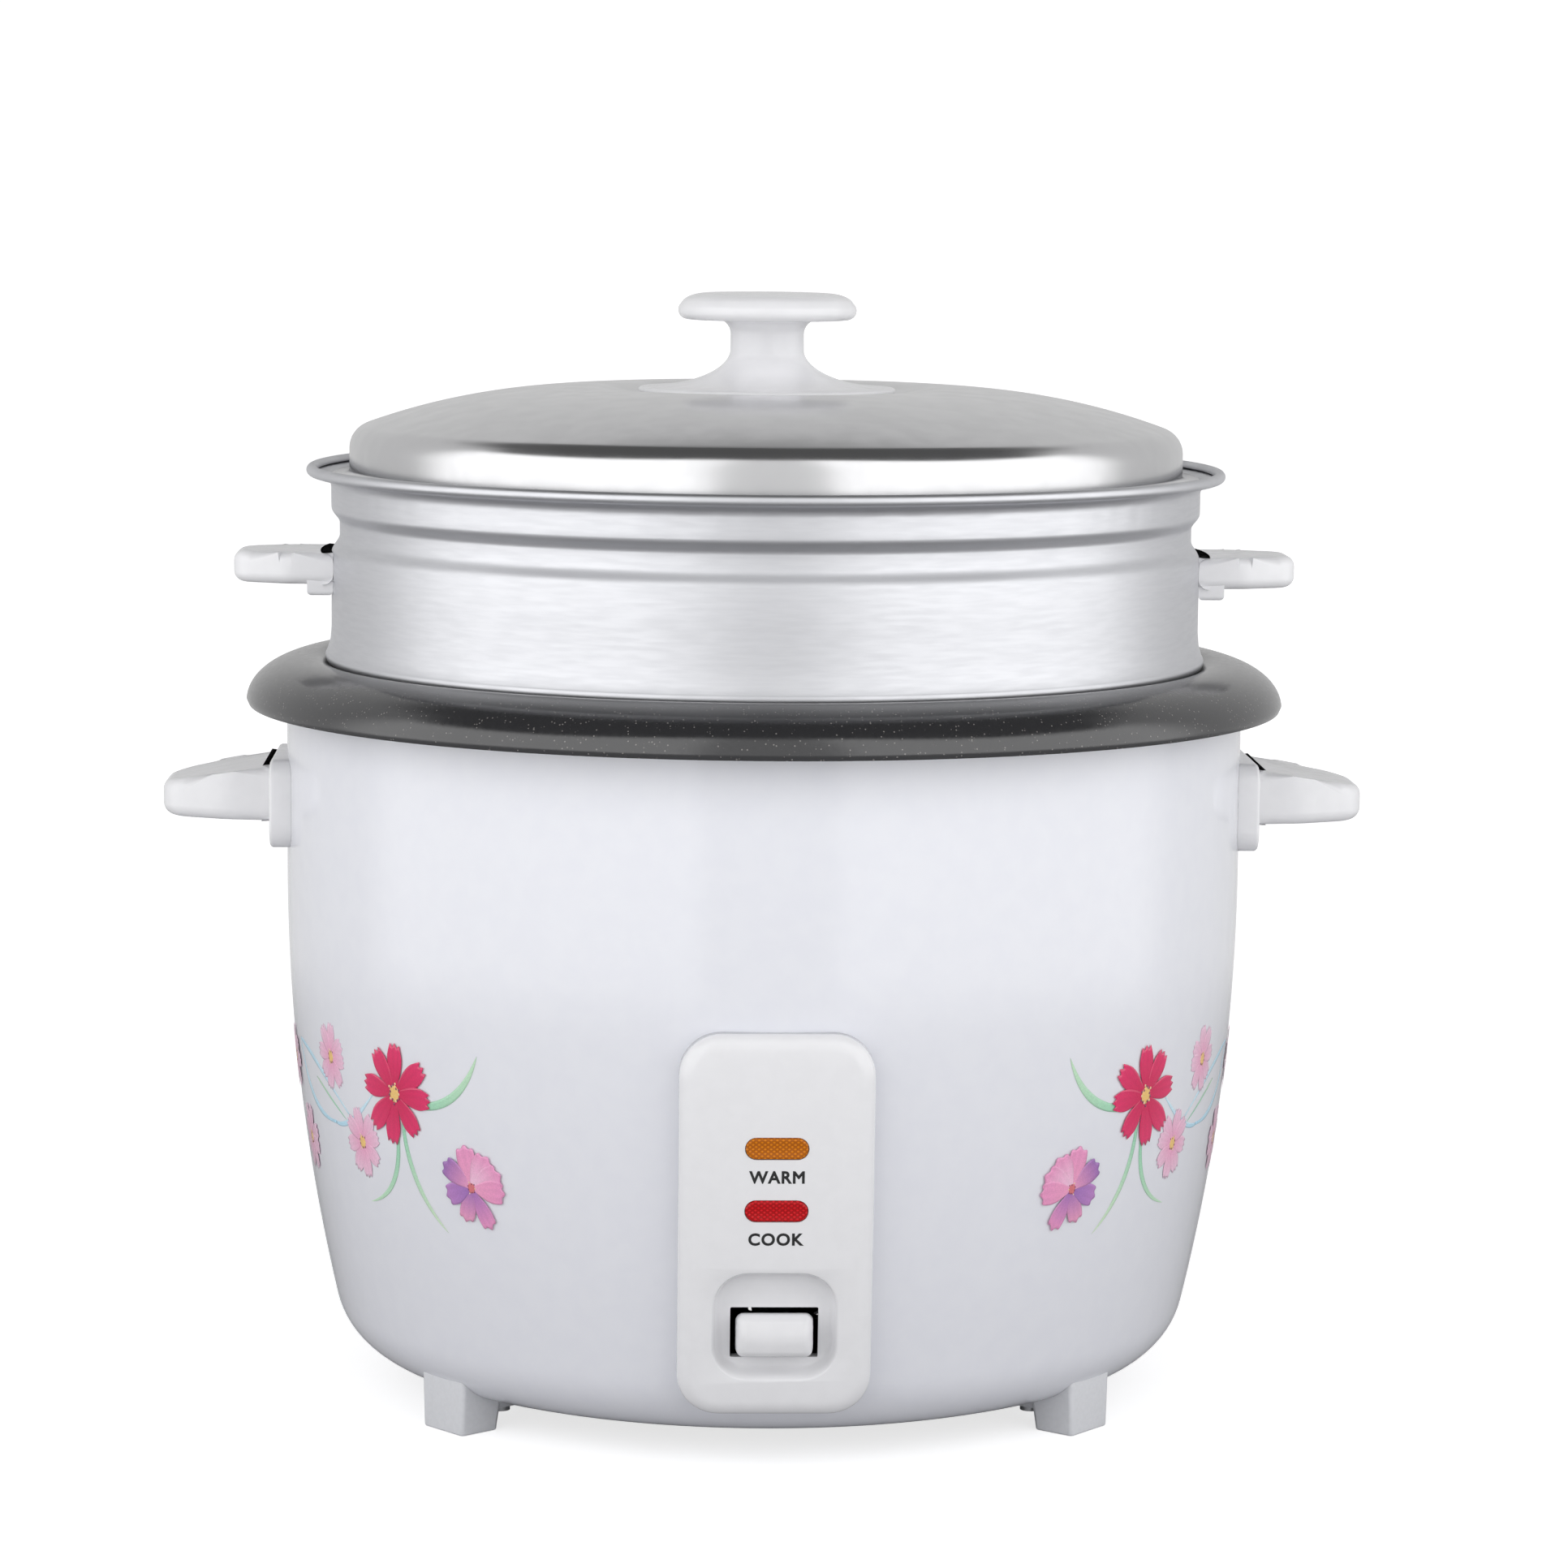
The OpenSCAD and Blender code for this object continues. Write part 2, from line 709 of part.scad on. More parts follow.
module heating_element() {
    color("#6f6a66") union() {
        rotate([0, 0, 90 + element_gap]) translate([0, 0, element_z])
            rotate_extrude(angle = 360 - 2 * element_gap)
            translate([element_r, 0]) circle(r = element_tube);
        at_element_ends() rod(2.2, liner_z - 9, element_z);
    }
}

module element_bushings() {
    color("#e8e2d6") at_element_ends() difference() {
        union() {
            rod(bush_r, liner_z - 4, liner_z + liner_wall + eps);
            rod(bush_r + 1, liner_z + liner_wall + seat_fit, liner_z + liner_wall + 1.2);
        }
        rod(2.2 + seat_fit, liner_z - 5, liner_z + 3);
    }
}

module heater_posts() {
    color(steel) three(post_ring) difference() {
        rod(post_r, liner_z + liner_wall, plate_bottom);
        rod(screw_r + seat_fit, liner_z, plate_bottom + 1);
    }
}

module heater_screws() {
    color(steel) three(post_ring) screw(screw_r, liner_z, plate_bottom + 4);
}

module thermostat_housing() {
    z = housing_z;
    color(steel) difference() {
        union() {
            rod(housing_r, z + seat_fit, z + housing_t);
            rod(guide_r, guide_z, z + 4.5);
        }
        rod(rod_r + run_fit, 0, plate_top);
        three(22, 30) rod(2, z - 1, z + 3);
    }
}

module sensor_cap() {
    edge = 1.5;
    color(alloy) revolve(sheet(concat(
        [[cap_r, skirt_z]],
        arc([cap_r - edge, plate_top - edge], edge, 0, 90, 5),
        [[0, plate_top]]), cap_wall));
}

module ferrite_disc() {
    color("#4a4a4c") rod(ferrite_r, ferrite_z, ferrite_z + ferrite_t);
}

module thermostat_spring() {
    color(steel) spring(cap_r - cap_wall / 2 - 0.1, 0.5, 4, housing_z + housing_t + 0.1, skirt_z - 0.1);
}

module magnet() {
    color("#5b5b60") rod(magnet_r, magnet_top - magnet_t, magnet_top);
}

module plunger_rod() {
    color(steel) union() {
        rod(rod_r, rod_bottom, carrier_z + eps);
        rod(carrier_r, carrier_z, carrier_z + carrier_t);
    }
}

module plunger_spring() {
    color(steel) spring((magnet_r + ferrite_r) / 2 + 0.2, 0.4, 3,
        carrier_z + carrier_t + 0.1, ferrite_z - 0.1);
}

// ---------------------------------------------------------------- lever and switch
module lever_arm() {
    half = lever_w / 2;
    front = -pocket_floor_y + 1;
    color(steel) translate([0, 0, lever_z]) difference() {
        union() {
            box([-half, half], [front, 0], [-lever_t / 2, lever_t / 2]);
            translate([0, 0, -lever_t / 2]) cylinder(r = half, h = lever_t);
            translate([0, pivot_y, 0]) rod_x(barrel_r, barrel_w);
        }
        translate([0, pivot_y, 0]) rod_x(pivot_r + run_fit, barrel_w + 2);
    }
}

module lever_key() {
    y = -pocket_floor_y;
    edge = 2.2;
    color(white) translate([0, y, lever_z]) difference() {
        union() {
            hull() {
                for (s = [-1, 1]) {
                    for (z = [key_h / 2 - edge, -key_h / 2 + edge]) {
                        translate([s * (key_w / 2 - edge), -edge - 0.4, z]) sphere(r = edge, $fn = 24);
                    }
                    translate([s * (key_w / 2 - 3), -edge - 2.4, 0]) sphere(r = edge, $fn = 24);
                }
            }
            box([-7, 7], [-2, 6], [-3, 3]);
        }
        box([-lever_w / 2 - seat_fit, lever_w / 2 + seat_fit], [1 - seat_fit, 7],
            [-lever_t / 2 - seat_fit, lever_t / 2 + seat_fit]);
    }
}

module lever_bracket() {
    cheek = barrel_w / 2 + 0.4;
    color(steel) difference() {
        union() {
            for (s = [-1, 1]) mirror_x(s)
                box([cheek, cheek + 1], [pivot_y - 6, pivot_y + 6], [lever_z - 4.5, liner_z]);
            box([-cheek - 1, cheek + 1], [pivot_y - 6, pivot_y + 6], [liner_z - 1, liner_z]);
        }
        translate([0, pivot_y, lever_z]) rod_x(pivot_r + seat_fit, 40);
    }
}

module lever_pivot_pin() {
    color(steel) translate([0, pivot_y, lever_z]) rod_x(pivot_r, barrel_w + 5);
}

module microswitch() {
    color("#2b2b2d") translate([0, switch_y, 0]) difference() {
        box([-2.9, 2.9], [-6.4, 6.4], [switch_z, liner_z]);
        rod(button_r + run_fit, switch_z - 1, switch_z + 4);
    }
}

module switch_button() {
    color("#c03020") translate([0, switch_y, 0]) rod(button_r, rod_bottom, switch_z + 1.8);
}

// ---------------------------------------------------------------- wiring parts
module thermal_fuse() {
    color(steel) translate([-38, 10, liner_z - 4]) union() {
        rod_y(2, -6, 6);
        rod_y(0.5, -14, 14);
    }
}

module fuse_clip() {
    color(alloy) translate([-38, 10, liner_z - 4]) difference() {
        box([-3.2, 3.2], [-4, 4], [-3, 4]);
        rod_y(2 + seat_fit, -5, 5);
        box([-1.2, 1.2], [-5, 5], [-4, 0]);
    }
}

module keep_warm_thermostat() {
    color("#30302f") translate([38, 10, 0]) union() {
        rod(8, liner_z - 7, liner_z - seat_fit);
        for (s = [-1, 1]) translate([s * 5, 0, 0])
            box([-0.4, 0.4], [-2.5, 2.5], [liner_z - 14, liner_z - 7 + eps]);
    }
}

module terminal_block() {
    color("#ece8dc") translate([-48, 62, 0]) difference() {
        box([-17, 17], [-6, 6], [liner_z - 14, liner_z - seat_fit]);
        for (x = [-11, 0, 11]) translate([x, 0, liner_z - 9]) rod_y(2.2, -10, 10);
    }
}

// ---------------------------------------------------------------- power inlet
// Children at the inlet's two screws, with -Y pointing out of the drum
module at_inlet_screws() {
    on_back(inlet_z, 0) for (s = [-1, 1]) translate([s * (inlet_w / 2 + 5), 0, 0]) children();
}

module power_inlet() {
    color("#1c1c1e") union() {
        difference() {
            on_back(inlet_z, 0) union() {
                plate_y(inlet_w + 19, inlet_h + 8, 4, -3.5, 9);
            }
            drum_solid(seat_fit);
            inlet_cavity();
            inlet_core(seat_fit);
            at_inlet_screws() rod_y(screw_r + seat_fit, -10, 15);
        }
        difference() {
            inlet_core(0);
            inlet_cavity();
            on_back(inlet_z, 0) at_blades() box([-1 - seat_fit, 1 + seat_fit], [0, far / 10],
                [-2 - seat_fit, 2 + seat_fit]);
        }
    }
}

// Block that fills the drum's opening, c longer at the front
module inlet_core(c) {
    on_back(inlet_z, 0)
        plate_y(inlet_w - 2 * slip_fit, inlet_h - 2 * slip_fit, 3, -3.5 - c, inlet_depth);
}

module inlet_cavity() {
    on_back(inlet_z, 0) plate_y(24.4, 16.6, 3, -5, inlet_depth - 4);
}

module at_blades() {
    for (p = [[-7, -2], [7, -2], [0, 2]]) translate([p[0], 0, p[1]]) children();
}

module inlet_pins() {
    color(steel) on_back(inlet_z, 0) at_blades()
        box([-1, 1], [2, inlet_depth + 7], [-2, 2]);
}

module inlet_screws() {
    color(steel) at_inlet_screws() translate([0, -3.5, 0])
        rotate([-90, 0, 0]) screw(screw_r, 0, 12);
}

// ---------------------------------------------------------------- pot
module inner_pot() {
    low_r = pot_in - pot_taper;
    c = pot_corner - pot_wall;
    floor_z = pot_z + pot_wall;
    path = concat(
        [[0, floor_z]],
        arc([low_r - c, floor_z + c], c, -90, 0, 12),
        arc([crest_x, crest_z - rim_bend], rim_bend, 180, 90, 12),
        oval([crest_x, crest_z - rim_drop], rim_reach, rim_drop, 84, 4, 16));
    lip = path[len(path) - 1] + [-0.6, -1.4];
    color("#3a3c40") revolve(sheet(concat(path, [lip]), -pot_wall));
}

// ---------------------------------------------------------------- steamer
module steamer_basket() {
    floor_z = spigot_z;
    g = wall_r - groove_depth;
    z1 = bead_z - 10.3;
    z2 = bead_z - 14.5;
    z3 = bead_z - 18;
    z4 = bead_z - 23;
    path = concat(
        [[0, floor_z]],
        arc([spigot_r - 3, floor_z + 3], 3, -90, 0, 6),
        arc([spigot_r + 1, seat_z - seat_bead - 1], 1, 180, 90, 4),
        arc([seat_x, seat_z], seat_bead, -80, 40, 8),
        [[wall_r + 0.3, seat_z + 4.5], [wall_r, seat_z + 8]],
        [[wall_r, z4 - 1], [wall_r - 0.4, z4 + 1], [g + 0.3, z3 - 0.8], [g, z3], [g, z2],
            [g + 0.3, z2 + 0.8], [wall_r - 0.4, z1 - 1], [wall_r, z1 + 1]],
        arc([wall_r + 3.4, bead_z - 5], 3.4, 180, 120, 5),
        arc([bead_x, bead_z], rim_bead, -80, 190, 14));
    color(alloy) difference() {
        revolve(sheet(path, steamer_wall));
        rod(steam_hole_r, floor_z - 1, floor_z + 2);
        for (k = [1 : steam_rings]) for (i = [0 : 6 * k - 1]) {
            rotate([0, 0, 60 * i / k]) translate([k * (spigot_r - 12) / (steam_rings + 0.5), 0, 0])
                rod(steam_hole_r, floor_z - 1, floor_z + 2);
        }
        at_ears() rod_x(screw_r + seat_fit, 12);
    }
}

// Children at the four screws of the steamer handles, with +X along the screw
module at_ears() {
    for (s = [0, 180]) rotate([0, 0, s]) for (y = [-8, 8]) {
        translate([wall_r, y, ear_z + ear_t / 2]) children();
    }
}

// Handle on the +X side of the steamer
module steamer_handle() {
    tip = wall_r + ear_reach;
    z = ear_z + ear_t / 2;
    e = 3;
    color(white) difference() {
        union() {
            hull() {
                for (s = [-1, 1]) for (dz = [-ear_t / 2 + e, ear_t / 2 - e]) {
                    translate([wall_r, s * (ear_w / 2 - e), z + dz]) sphere(r = e, $fn = 24);
                    translate([wall_r + 12, s * (ear_w / 2 - e - 0.5), z + dz]) sphere(r = e, $fn = 24);
                    translate([tip - 7, s * (ear_w / 2 - e - 6), z + dz]) sphere(r = e, $fn = 24);
                    translate([tip - e, s * 5, z + dz]) sphere(r = e, $fn = 24);
                }
            }
            hull() {
                for (s = [-1, 1]) for (dz = [-ear_t / 2 - 1, ear_t / 2 - 2]) {
                    translate([wall_r - 2, s * (ear_w / 2 - 3), z + dz])
                        rotate([0, 90, 0]) cylinder(r = 2, h = 8, $fn = 32);
                }
            }
        }
        rod(wall_r + seat_fit, ear_z - 30, ear_z + 30);
        for (y = [-8, 8]) translate([wall_r, y, z]) rod_x(screw_r + seat_fit, 20);
    }
}

module steamer_handle_screws() {
    seat = sqrt(pow(wall_r - steamer_wall, 2) - 64) - 0.5;
    color(steel) for (s = [0, 180]) rotate([0, 0, s]) for (y = [-8, 8]) {
        translate([seat, y, ear_z + ear_t / 2]) rotate([0, 90, 0]) screw(screw_r, 0, 10);
    }
}

// ---------------------------------------------------------------- lid
module lid_shell() {
    dome_c = [crest_r, lid_crest_z - dome_arc];
    c_r = lid_r - lid_corner;
    a = acos((c_r - crest_r) / (dome_arc - lid_corner));
    c_z = dome_c[1] + (dome_arc - lid_corner) * sin(a);
    n = 10;
    dish = [for (i = [0 : n]) let (t = i / n)
        [dish_flat_r + (crest_r - dish_flat_r) * t, dish_z + dish_depth * (1 - cos(180 * t)) / 2]];
    path = concat(
        [[0, dish_z]], dish,
        arc(dome_c, dome_arc, 89, a + 0.5, 14),
        arc([c_r, c_z], lid_corner, a, 0, 8),
        arc([lid_r + 1.5, lid_flange_z + 1.5], 1.5, 180, 270, 5),
        [[wall_r, lid_flange_z]]);
    color("#d9dbdd") difference() {
        revolve(sheet(path, -lid_wall));
        rod(2 + seat_fit, dish_z - 2, dish_z + 2);
        translate([0, crest_r + 6, 0]) rod(2, lid_crest_z - 5, lid_crest_z + 2);
    }
}

module lid_knob() {
    z = dish_z;
    foot = z + 2.2;
    flare_r = knob_foot_r - 0.8;
    top = knob_top;
    path = concat(
        [[0, z + seat_fit], [boss_r, z + seat_fit], [boss_r, foot]],
        [[knob_foot_r - 0.6, foot]],
        arc([knob_foot_r - 0.8, foot + 0.8], 0.8, -60, 60, 4),
        oval([flare_r, top - 15.5], flare_r - knob_neck_r, 10.4, 262, 184, 12),
        [[knob_neck_r, top - 13]],
        arc([knob_neck_r + 4, top - 11.3], 4, 180, 90, 6),
        arc([knob_r - 2.6, top - 4.7], 2.6, -90, 30, 8),
        oval([knob_r - 8, top - 3.4], 7.2, 3.4, 20, 90, 6),
        [[0, top]]);
    color(white) difference() {
        revolve(path);
        rod(2 + seat_fit, z - 1, z + 14);
    }
}

module knob_washer() {
    z = dish_z - lid_wall;
    color(steel) difference() {
        rod(7, z - 1, z - seat_fit);
        rod(2 + seat_fit, z - 2, z + 1);
    }
}

module knob_screw() {
    color(steel) screw(2, dish_z - lid_wall - 1, dish_z + 13);
}

body_shell();
inner_liner();
base_plate();
base_screws();
foot(foot_angle - 180);  // foot_front_left
foot(-foot_angle);  // foot_front_right
foot(180 - foot_angle);  // foot_rear_left
foot(foot_angle);  // foot_rear_right
foot_screws();
foot_nuts();
rotate([0, 0, 180]) body_handle();  // body_handle_left
body_handle();  // body_handle_right
body_handle_screws();
control_panel();
panel_screws();
warm_lens();
cook_lens();
warm_lamp();
cook_lamp();
lamp_holder();
heating_plate();
heating_element();
element_bushings();
heater_posts();
heater_screws();
thermostat_housing();
lever_bracket();
lever_pivot_pin();
microswitch();
thermal_fuse();
fuse_clip();
keep_warm_thermostat();
terminal_block();
power_inlet();
inlet_pins();
inlet_screws();
sensor_cap();
ferrite_disc();
thermostat_spring();
magnet();
plunger_rod();
plunger_spring();
lever_arm();
lever_key();
switch_button();
inner_pot();
steamer_basket();
rotate([0, 0, 180]) steamer_handle();  // steamer_handle_left
steamer_handle();  // steamer_handle_right
steamer_handle_screws();
lid_shell();
lid_knob();
knob_screw();
knob_washer();
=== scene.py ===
import math

import bmesh
import bpy
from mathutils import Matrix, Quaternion, Vector, noise


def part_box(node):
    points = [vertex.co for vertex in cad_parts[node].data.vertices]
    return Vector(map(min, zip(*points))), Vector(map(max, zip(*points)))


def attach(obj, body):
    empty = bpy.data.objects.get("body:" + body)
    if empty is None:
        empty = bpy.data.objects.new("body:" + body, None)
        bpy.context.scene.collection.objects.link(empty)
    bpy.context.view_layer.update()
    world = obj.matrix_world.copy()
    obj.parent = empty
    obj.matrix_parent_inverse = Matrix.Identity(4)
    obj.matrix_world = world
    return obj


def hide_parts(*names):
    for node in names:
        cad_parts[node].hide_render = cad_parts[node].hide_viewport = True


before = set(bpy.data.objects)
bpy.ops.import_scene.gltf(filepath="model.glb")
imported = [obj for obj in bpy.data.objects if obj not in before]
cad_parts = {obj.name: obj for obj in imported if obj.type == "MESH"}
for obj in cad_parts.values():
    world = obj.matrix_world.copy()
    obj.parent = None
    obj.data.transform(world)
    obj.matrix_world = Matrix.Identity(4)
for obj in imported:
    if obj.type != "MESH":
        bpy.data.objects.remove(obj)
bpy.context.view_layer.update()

# ------------------------------------------------------------------ camera
# A long lens a little above the lid, looking almost straight at the control
# panel and turned a shade to the right, so that the cooker stands left of centre.
camera_away, camera_height = 1.4036, 0.3408
camera_swing, camera_pan, camera_tilt, camera_roll = -1.8, -0.2347, 7.04, 0.5

camera = bpy.data.objects.new("camera", bpy.data.cameras.new("camera"))
camera.data.sensor_width = 36.0
camera.data.lens = 115.53
bpy.context.scene.collection.objects.link(camera)
bpy.context.scene.camera = camera
swing = math.radians(camera_swing)
camera.location = (math.sin(swing) * camera_away, -math.cos(swing) * camera_away, camera_height)
camera.rotation_mode = "QUATERNION"
camera.rotation_quaternion = (
    Quaternion((0, 0, 1), math.radians(camera_swing + camera_pan))
    @ Quaternion((1, 0, 0), math.radians(90 - camera_tilt))
    @ Quaternion((0, 0, 1), math.radians(camera_roll)))

# ------------------------------------------------------------------ studio
# A white sweep with two tall soft boxes at the front, left and right, a dark
# gap between them and a dark ceiling, which polished metal shows as bands.
soft_box_light, gap_light, wall_light, ceiling_light = 1.63, 0.84, 0.67, 0.10


def wire(tree, value, socket):
    """Sets a socket to a number or joins it to another node's output."""
    if isinstance(value, bpy.types.NodeSocket):
        tree.links.new(value, socket)
    else:
        socket.default_value = value


def sums(tree, operation, *values):
    """One arithmetic step on numbers or other nodes' outputs."""
    step = tree.nodes.new("ShaderNodeMath")
    step.operation = operation
    for value, socket in zip(values, step.inputs):
        wire(tree, value, socket)
    return step.outputs[0]


def ramp_up(tree, value, start, end, low=0.0, high=1.0):
    """Smooth step from low to high as value goes from start to end."""
    step = tree.nodes.new("ShaderNodeMapRange")
    step.interpolation_type = "SMOOTHSTEP"
    for socket, number in zip(step.inputs, (value, start, end, low, high)):
        wire(tree, number, socket)
    return step.outputs[0]


studio = bpy.data.worlds.new("studio")
bpy.context.scene.world = studio
studio.use_nodes = True
tree = studio.node_tree
sky = tree.nodes["Background"]
split = tree.nodes.new("ShaderNodeSeparateXYZ")
wire(tree, tree.nodes.new("ShaderNodeTexCoord").outputs["Generated"], split.inputs[0])
east, north, up = split.outputs
off_axis = sums(tree, "ARCTAN2", sums(tree, "ABSOLUTE", east), sums(tree, "MULTIPLY", north, -1.0))
soft_boxes = sums(tree, "MULTIPLY", ramp_up(tree, off_axis, 0.22, 0.34),
                  ramp_up(tree, off_axis, 1.65, 2.0, 1.0, 0.0))
behind = ramp_up(tree, off_axis, 1.3, 1.7, gap_light, wall_light)
light = sums(tree, "ADD", behind, sums(tree, "MULTIPLY", soft_boxes, sums(
    tree, "SUBTRACT", soft_box_light, behind)))
lofty = sums(tree, "ADD", up, sums(tree, "MULTIPLY", north, 0.143))
flanks = sums(tree, "MULTIPLY", ramp_up(tree, off_axis, 0.3, 1.2, 0.0, 0.14),
              ramp_up(tree, off_axis, 1.6, 2.1, 1.0, 0.0))
lofty = sums(tree, "ADD", lofty, flanks)
light = sums(tree, "ADD", light, sums(tree, "MULTIPLY", ramp_up(tree, lofty, 0.72, 0.84), sums(
    tree, "SUBTRACT", ceiling_light, light)))
seen = tree.nodes.new("ShaderNodeLightPath").outputs["Is Camera Ray"]
light = sums(tree, "ADD", light, sums(tree, "MULTIPLY", seen, sums(tree, "SUBTRACT", 1.05, light)))
wire(tree, light, sky.inputs["Strength"])
sky.inputs["Color"].default_value = (1.0, 1.0, 1.0, 1.0)
bpy.context.scene.view_settings.view_transform = "Standard"

floor_mesh = bpy.data.meshes.new("floor")
bm = bmesh.new()
bmesh.ops.create_grid(bm, x_segments=2, y_segments=2, size=12.0)
bm.to_mesh(floor_mesh)
bm.free()
floor = bpy.data.objects.new("floor", floor_mesh)
bpy.context.scene.collection.objects.link(floor)
table_white = bpy.data.materials.new("table_white")
table_white.use_nodes = True
tree = table_white.node_tree
shader = tree.nodes["Principled BSDF"]
shader.inputs["Base Color"].default_value = (0.55, 0.55, 0.56, 1.0)
shader.inputs["Roughness"].default_value = 0.7
shader.inputs["Specular IOR Level"].default_value = 0.1
shader.inputs["Emission Color"].default_value = (1.0, 1.0, 1.0, 1.0)
seen = tree.nodes.new("ShaderNodeLightPath").outputs["Is Camera Ray"]
wire(tree, sums(tree, "MULTIPLY", seen, 0.72), shader.inputs["Emission Strength"])
# The sweep looks endless, but only the table near the cooker holds light back
reach = tree.nodes.new("ShaderNodeVectorMath")
reach.operation = "LENGTH"
wire(tree, tree.nodes.new("ShaderNodeTexCoord").outputs["Object"], reach.inputs[0])
table = sums(tree, "MAXIMUM", seen, ramp_up(tree, reach.outputs["Value"], 0.5, 0.8, 1.0, 0.0))
clear = tree.nodes.new("ShaderNodeBsdfTransparent")
surface = tree.nodes.new("ShaderNodeMixShader")
wire(tree, table, surface.inputs[0])
tree.links.new(clear.outputs[0], surface.inputs[1])
tree.links.new(shader.outputs[0], surface.inputs[2])
tree.links.new(surface.outputs[0], tree.nodes["Material Output"].inputs["Surface"])
floor_mesh.materials.append(table_white)

# ------------------------------------------------------------------ drum
# The outer body: one pressed and spun steel drum, white enamel outside, with
# turned-in rings at the top and bottom and openings for the panel and inlet.
drum_low, drum_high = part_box("body_shell")
body_r, body_h, base_z = drum_high.x, drum_high.z, drum_low.z
body_wall, flank_r, base_corner, top_corner = 0.0008, 0.540, 0.021, 0.005
straight_z, corner_z = body_h - 0.057, base_z + base_corner
flank_turn = math.asin((straight_z - corner_z) / (flank_r - base_corner))
base_flat_r = body_r - flank_r + (flank_r - base_corner) * math.cos(flank_turn)


def bend(r, z, radius, start, end, steps=12, height=None):
    """Points of an arc in a profile, angles in degrees."""
    height = radius if height is None else height
    turns = [math.radians(start + (end - start) * i / steps) for i in range(steps + 1)]
    return [(r + radius * math.cos(a), z + height * math.sin(a)) for a in turns]


def flank(z, lift=0.0):
    """Radius of the drum's flank, lifted off it by lift, at height z."""
    return body_r - flank_r + math.sqrt((flank_r + lift) ** 2 - max(straight_z - z, 0.0) ** 2)


def turn_profile(outline, steps=256, closed=True):
    """Spins a profile of (radius, height) points a full turn round the axis."""
    bm = bmesh.new()
    points = [bm.verts.new((r, 0, z)) for r, z in outline]
    ends = zip(points, points[1:] + points[:1] if closed else points[1:])
    edges = [bm.edges.new(e) for e in ends if max(e[0].co.x, e[1].co.x) > 1e-7]
    bmesh.ops.spin(bm, geom=points + edges, cent=(0, 0, 0), axis=(0, 0, 1),
                   angle=2 * math.pi, steps=steps, use_merge=True)
    bmesh.ops.remove_doubles(bm, verts=bm.verts, dist=1e-7)
    bmesh.ops.recalc_face_normals(bm, faces=bm.faces)
    return bm


def face_out(bm):
    """Turns an open sheet so that its widest face points away from the axis."""
    widest = max(bm.faces, key=lambda f: Vector(f.calc_center_median()[:2]).length)
    if Vector(widest.normal[:2]).dot(Vector(widest.calc_center_median()[:2])) < 0:
        bmesh.ops.reverse_faces(bm, faces=bm.faces)


def piece(bm, name, finish, body, slot, *nodes, sharp=32):
    """Makes a bmesh a piece that rides on a body and stands for CAD nodes."""
    mesh = bpy.data.meshes.new(name)
    bm.to_mesh(mesh)
    bm.free()
    for face in mesh.polygons:
        face.use_smooth = True
    mesh.set_sharp_from_angle(angle=math.radians(sharp))
    mesh.materials.append(finish)
    shown = bpy.data.objects.new(name, mesh)
    bpy.context.scene.collection.objects.link(shown)
    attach(shown, body)
    if nodes:
        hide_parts(*nodes)
    return shown


def give_wall(shown, wall):
    """Makes a sheet as thick as wall, on its inner side."""
    wall_step = shown.modifiers.new("wall", "SOLIDIFY")
    wall_step.thickness = wall
    wall_step.offset = -1.0
    wall_step.use_even_offset = True


def bare_finish(name):
    """A new finish, with its node tree and its shader."""
    finish = bpy.data.materials.new(name)
    finish.use_nodes = True
    return finish, finish.node_tree, finish.node_tree.nodes["Principled BSDF"]


def blended(tree, share, first, second, how="MIX"):
    """Mixes two colours, each given as red, green and blue or as another node's output."""
    tone = tree.nodes.new("ShaderNodeMix")
    tone.data_type, tone.blend_type = "RGBA", how
    wire(tree, share, tone.inputs[0])
    for colour, socket in ((first, tone.inputs[6]), (second, tone.inputs[7])):
        wire(tree, (*colour, 1.0) if isinstance(colour, tuple) else colour, socket)
    return tone.outputs[2]


def emboss(tree, shader, pattern, height):
    """Gives a surface a relief that follows a pattern, height in metres."""
    relief = tree.nodes.new("ShaderNodeBump")
    relief.inputs["Strength"].default_value = 1.0
    relief.inputs["Distance"].default_value = height
    wire(tree, pattern, relief.inputs["Height"])
    wire(tree, relief.outputs[0], shader.inputs["Normal"])


def finish_of(name, colour, shade, size, rough, bump, metallic=0.0, stretch=(1, 1, 1), **fixed):
    """A finish whose colour, roughness and relief vary with a grain of the given size in metres."""
    finish, tree, shader = bare_finish(name)
    shader.inputs["Metallic"].default_value = metallic
    for socket, value in fixed.items():
        shader.inputs[socket.replace("_", " ")].default_value = value
    place = tree.nodes.new("ShaderNodeMapping")
    place.inputs["Scale"].default_value = stretch
    wire(tree, tree.nodes.new("ShaderNodeTexCoord").outputs["Object"], place.inputs["Vector"])
    grain = tree.nodes.new("ShaderNodeTexNoise")
    grain.inputs["Scale"].default_value = 1.0 / size
    grain.inputs["Detail"].default_value = 4.0
    wire(tree, place.outputs[0], grain.inputs["Vector"])
    tone = blended(tree, ramp_up(tree, grain.outputs[0], 0.3, 0.7), colour, shade)
    wire(tree, tone, shader.inputs["Base Color"])
    wire(tree, ramp_up(tree, grain.outputs[0], 0.25, 0.75, *rough), shader.inputs["Roughness"])
    emboss(tree, shader, grain.outputs[0], bump)
    return finish


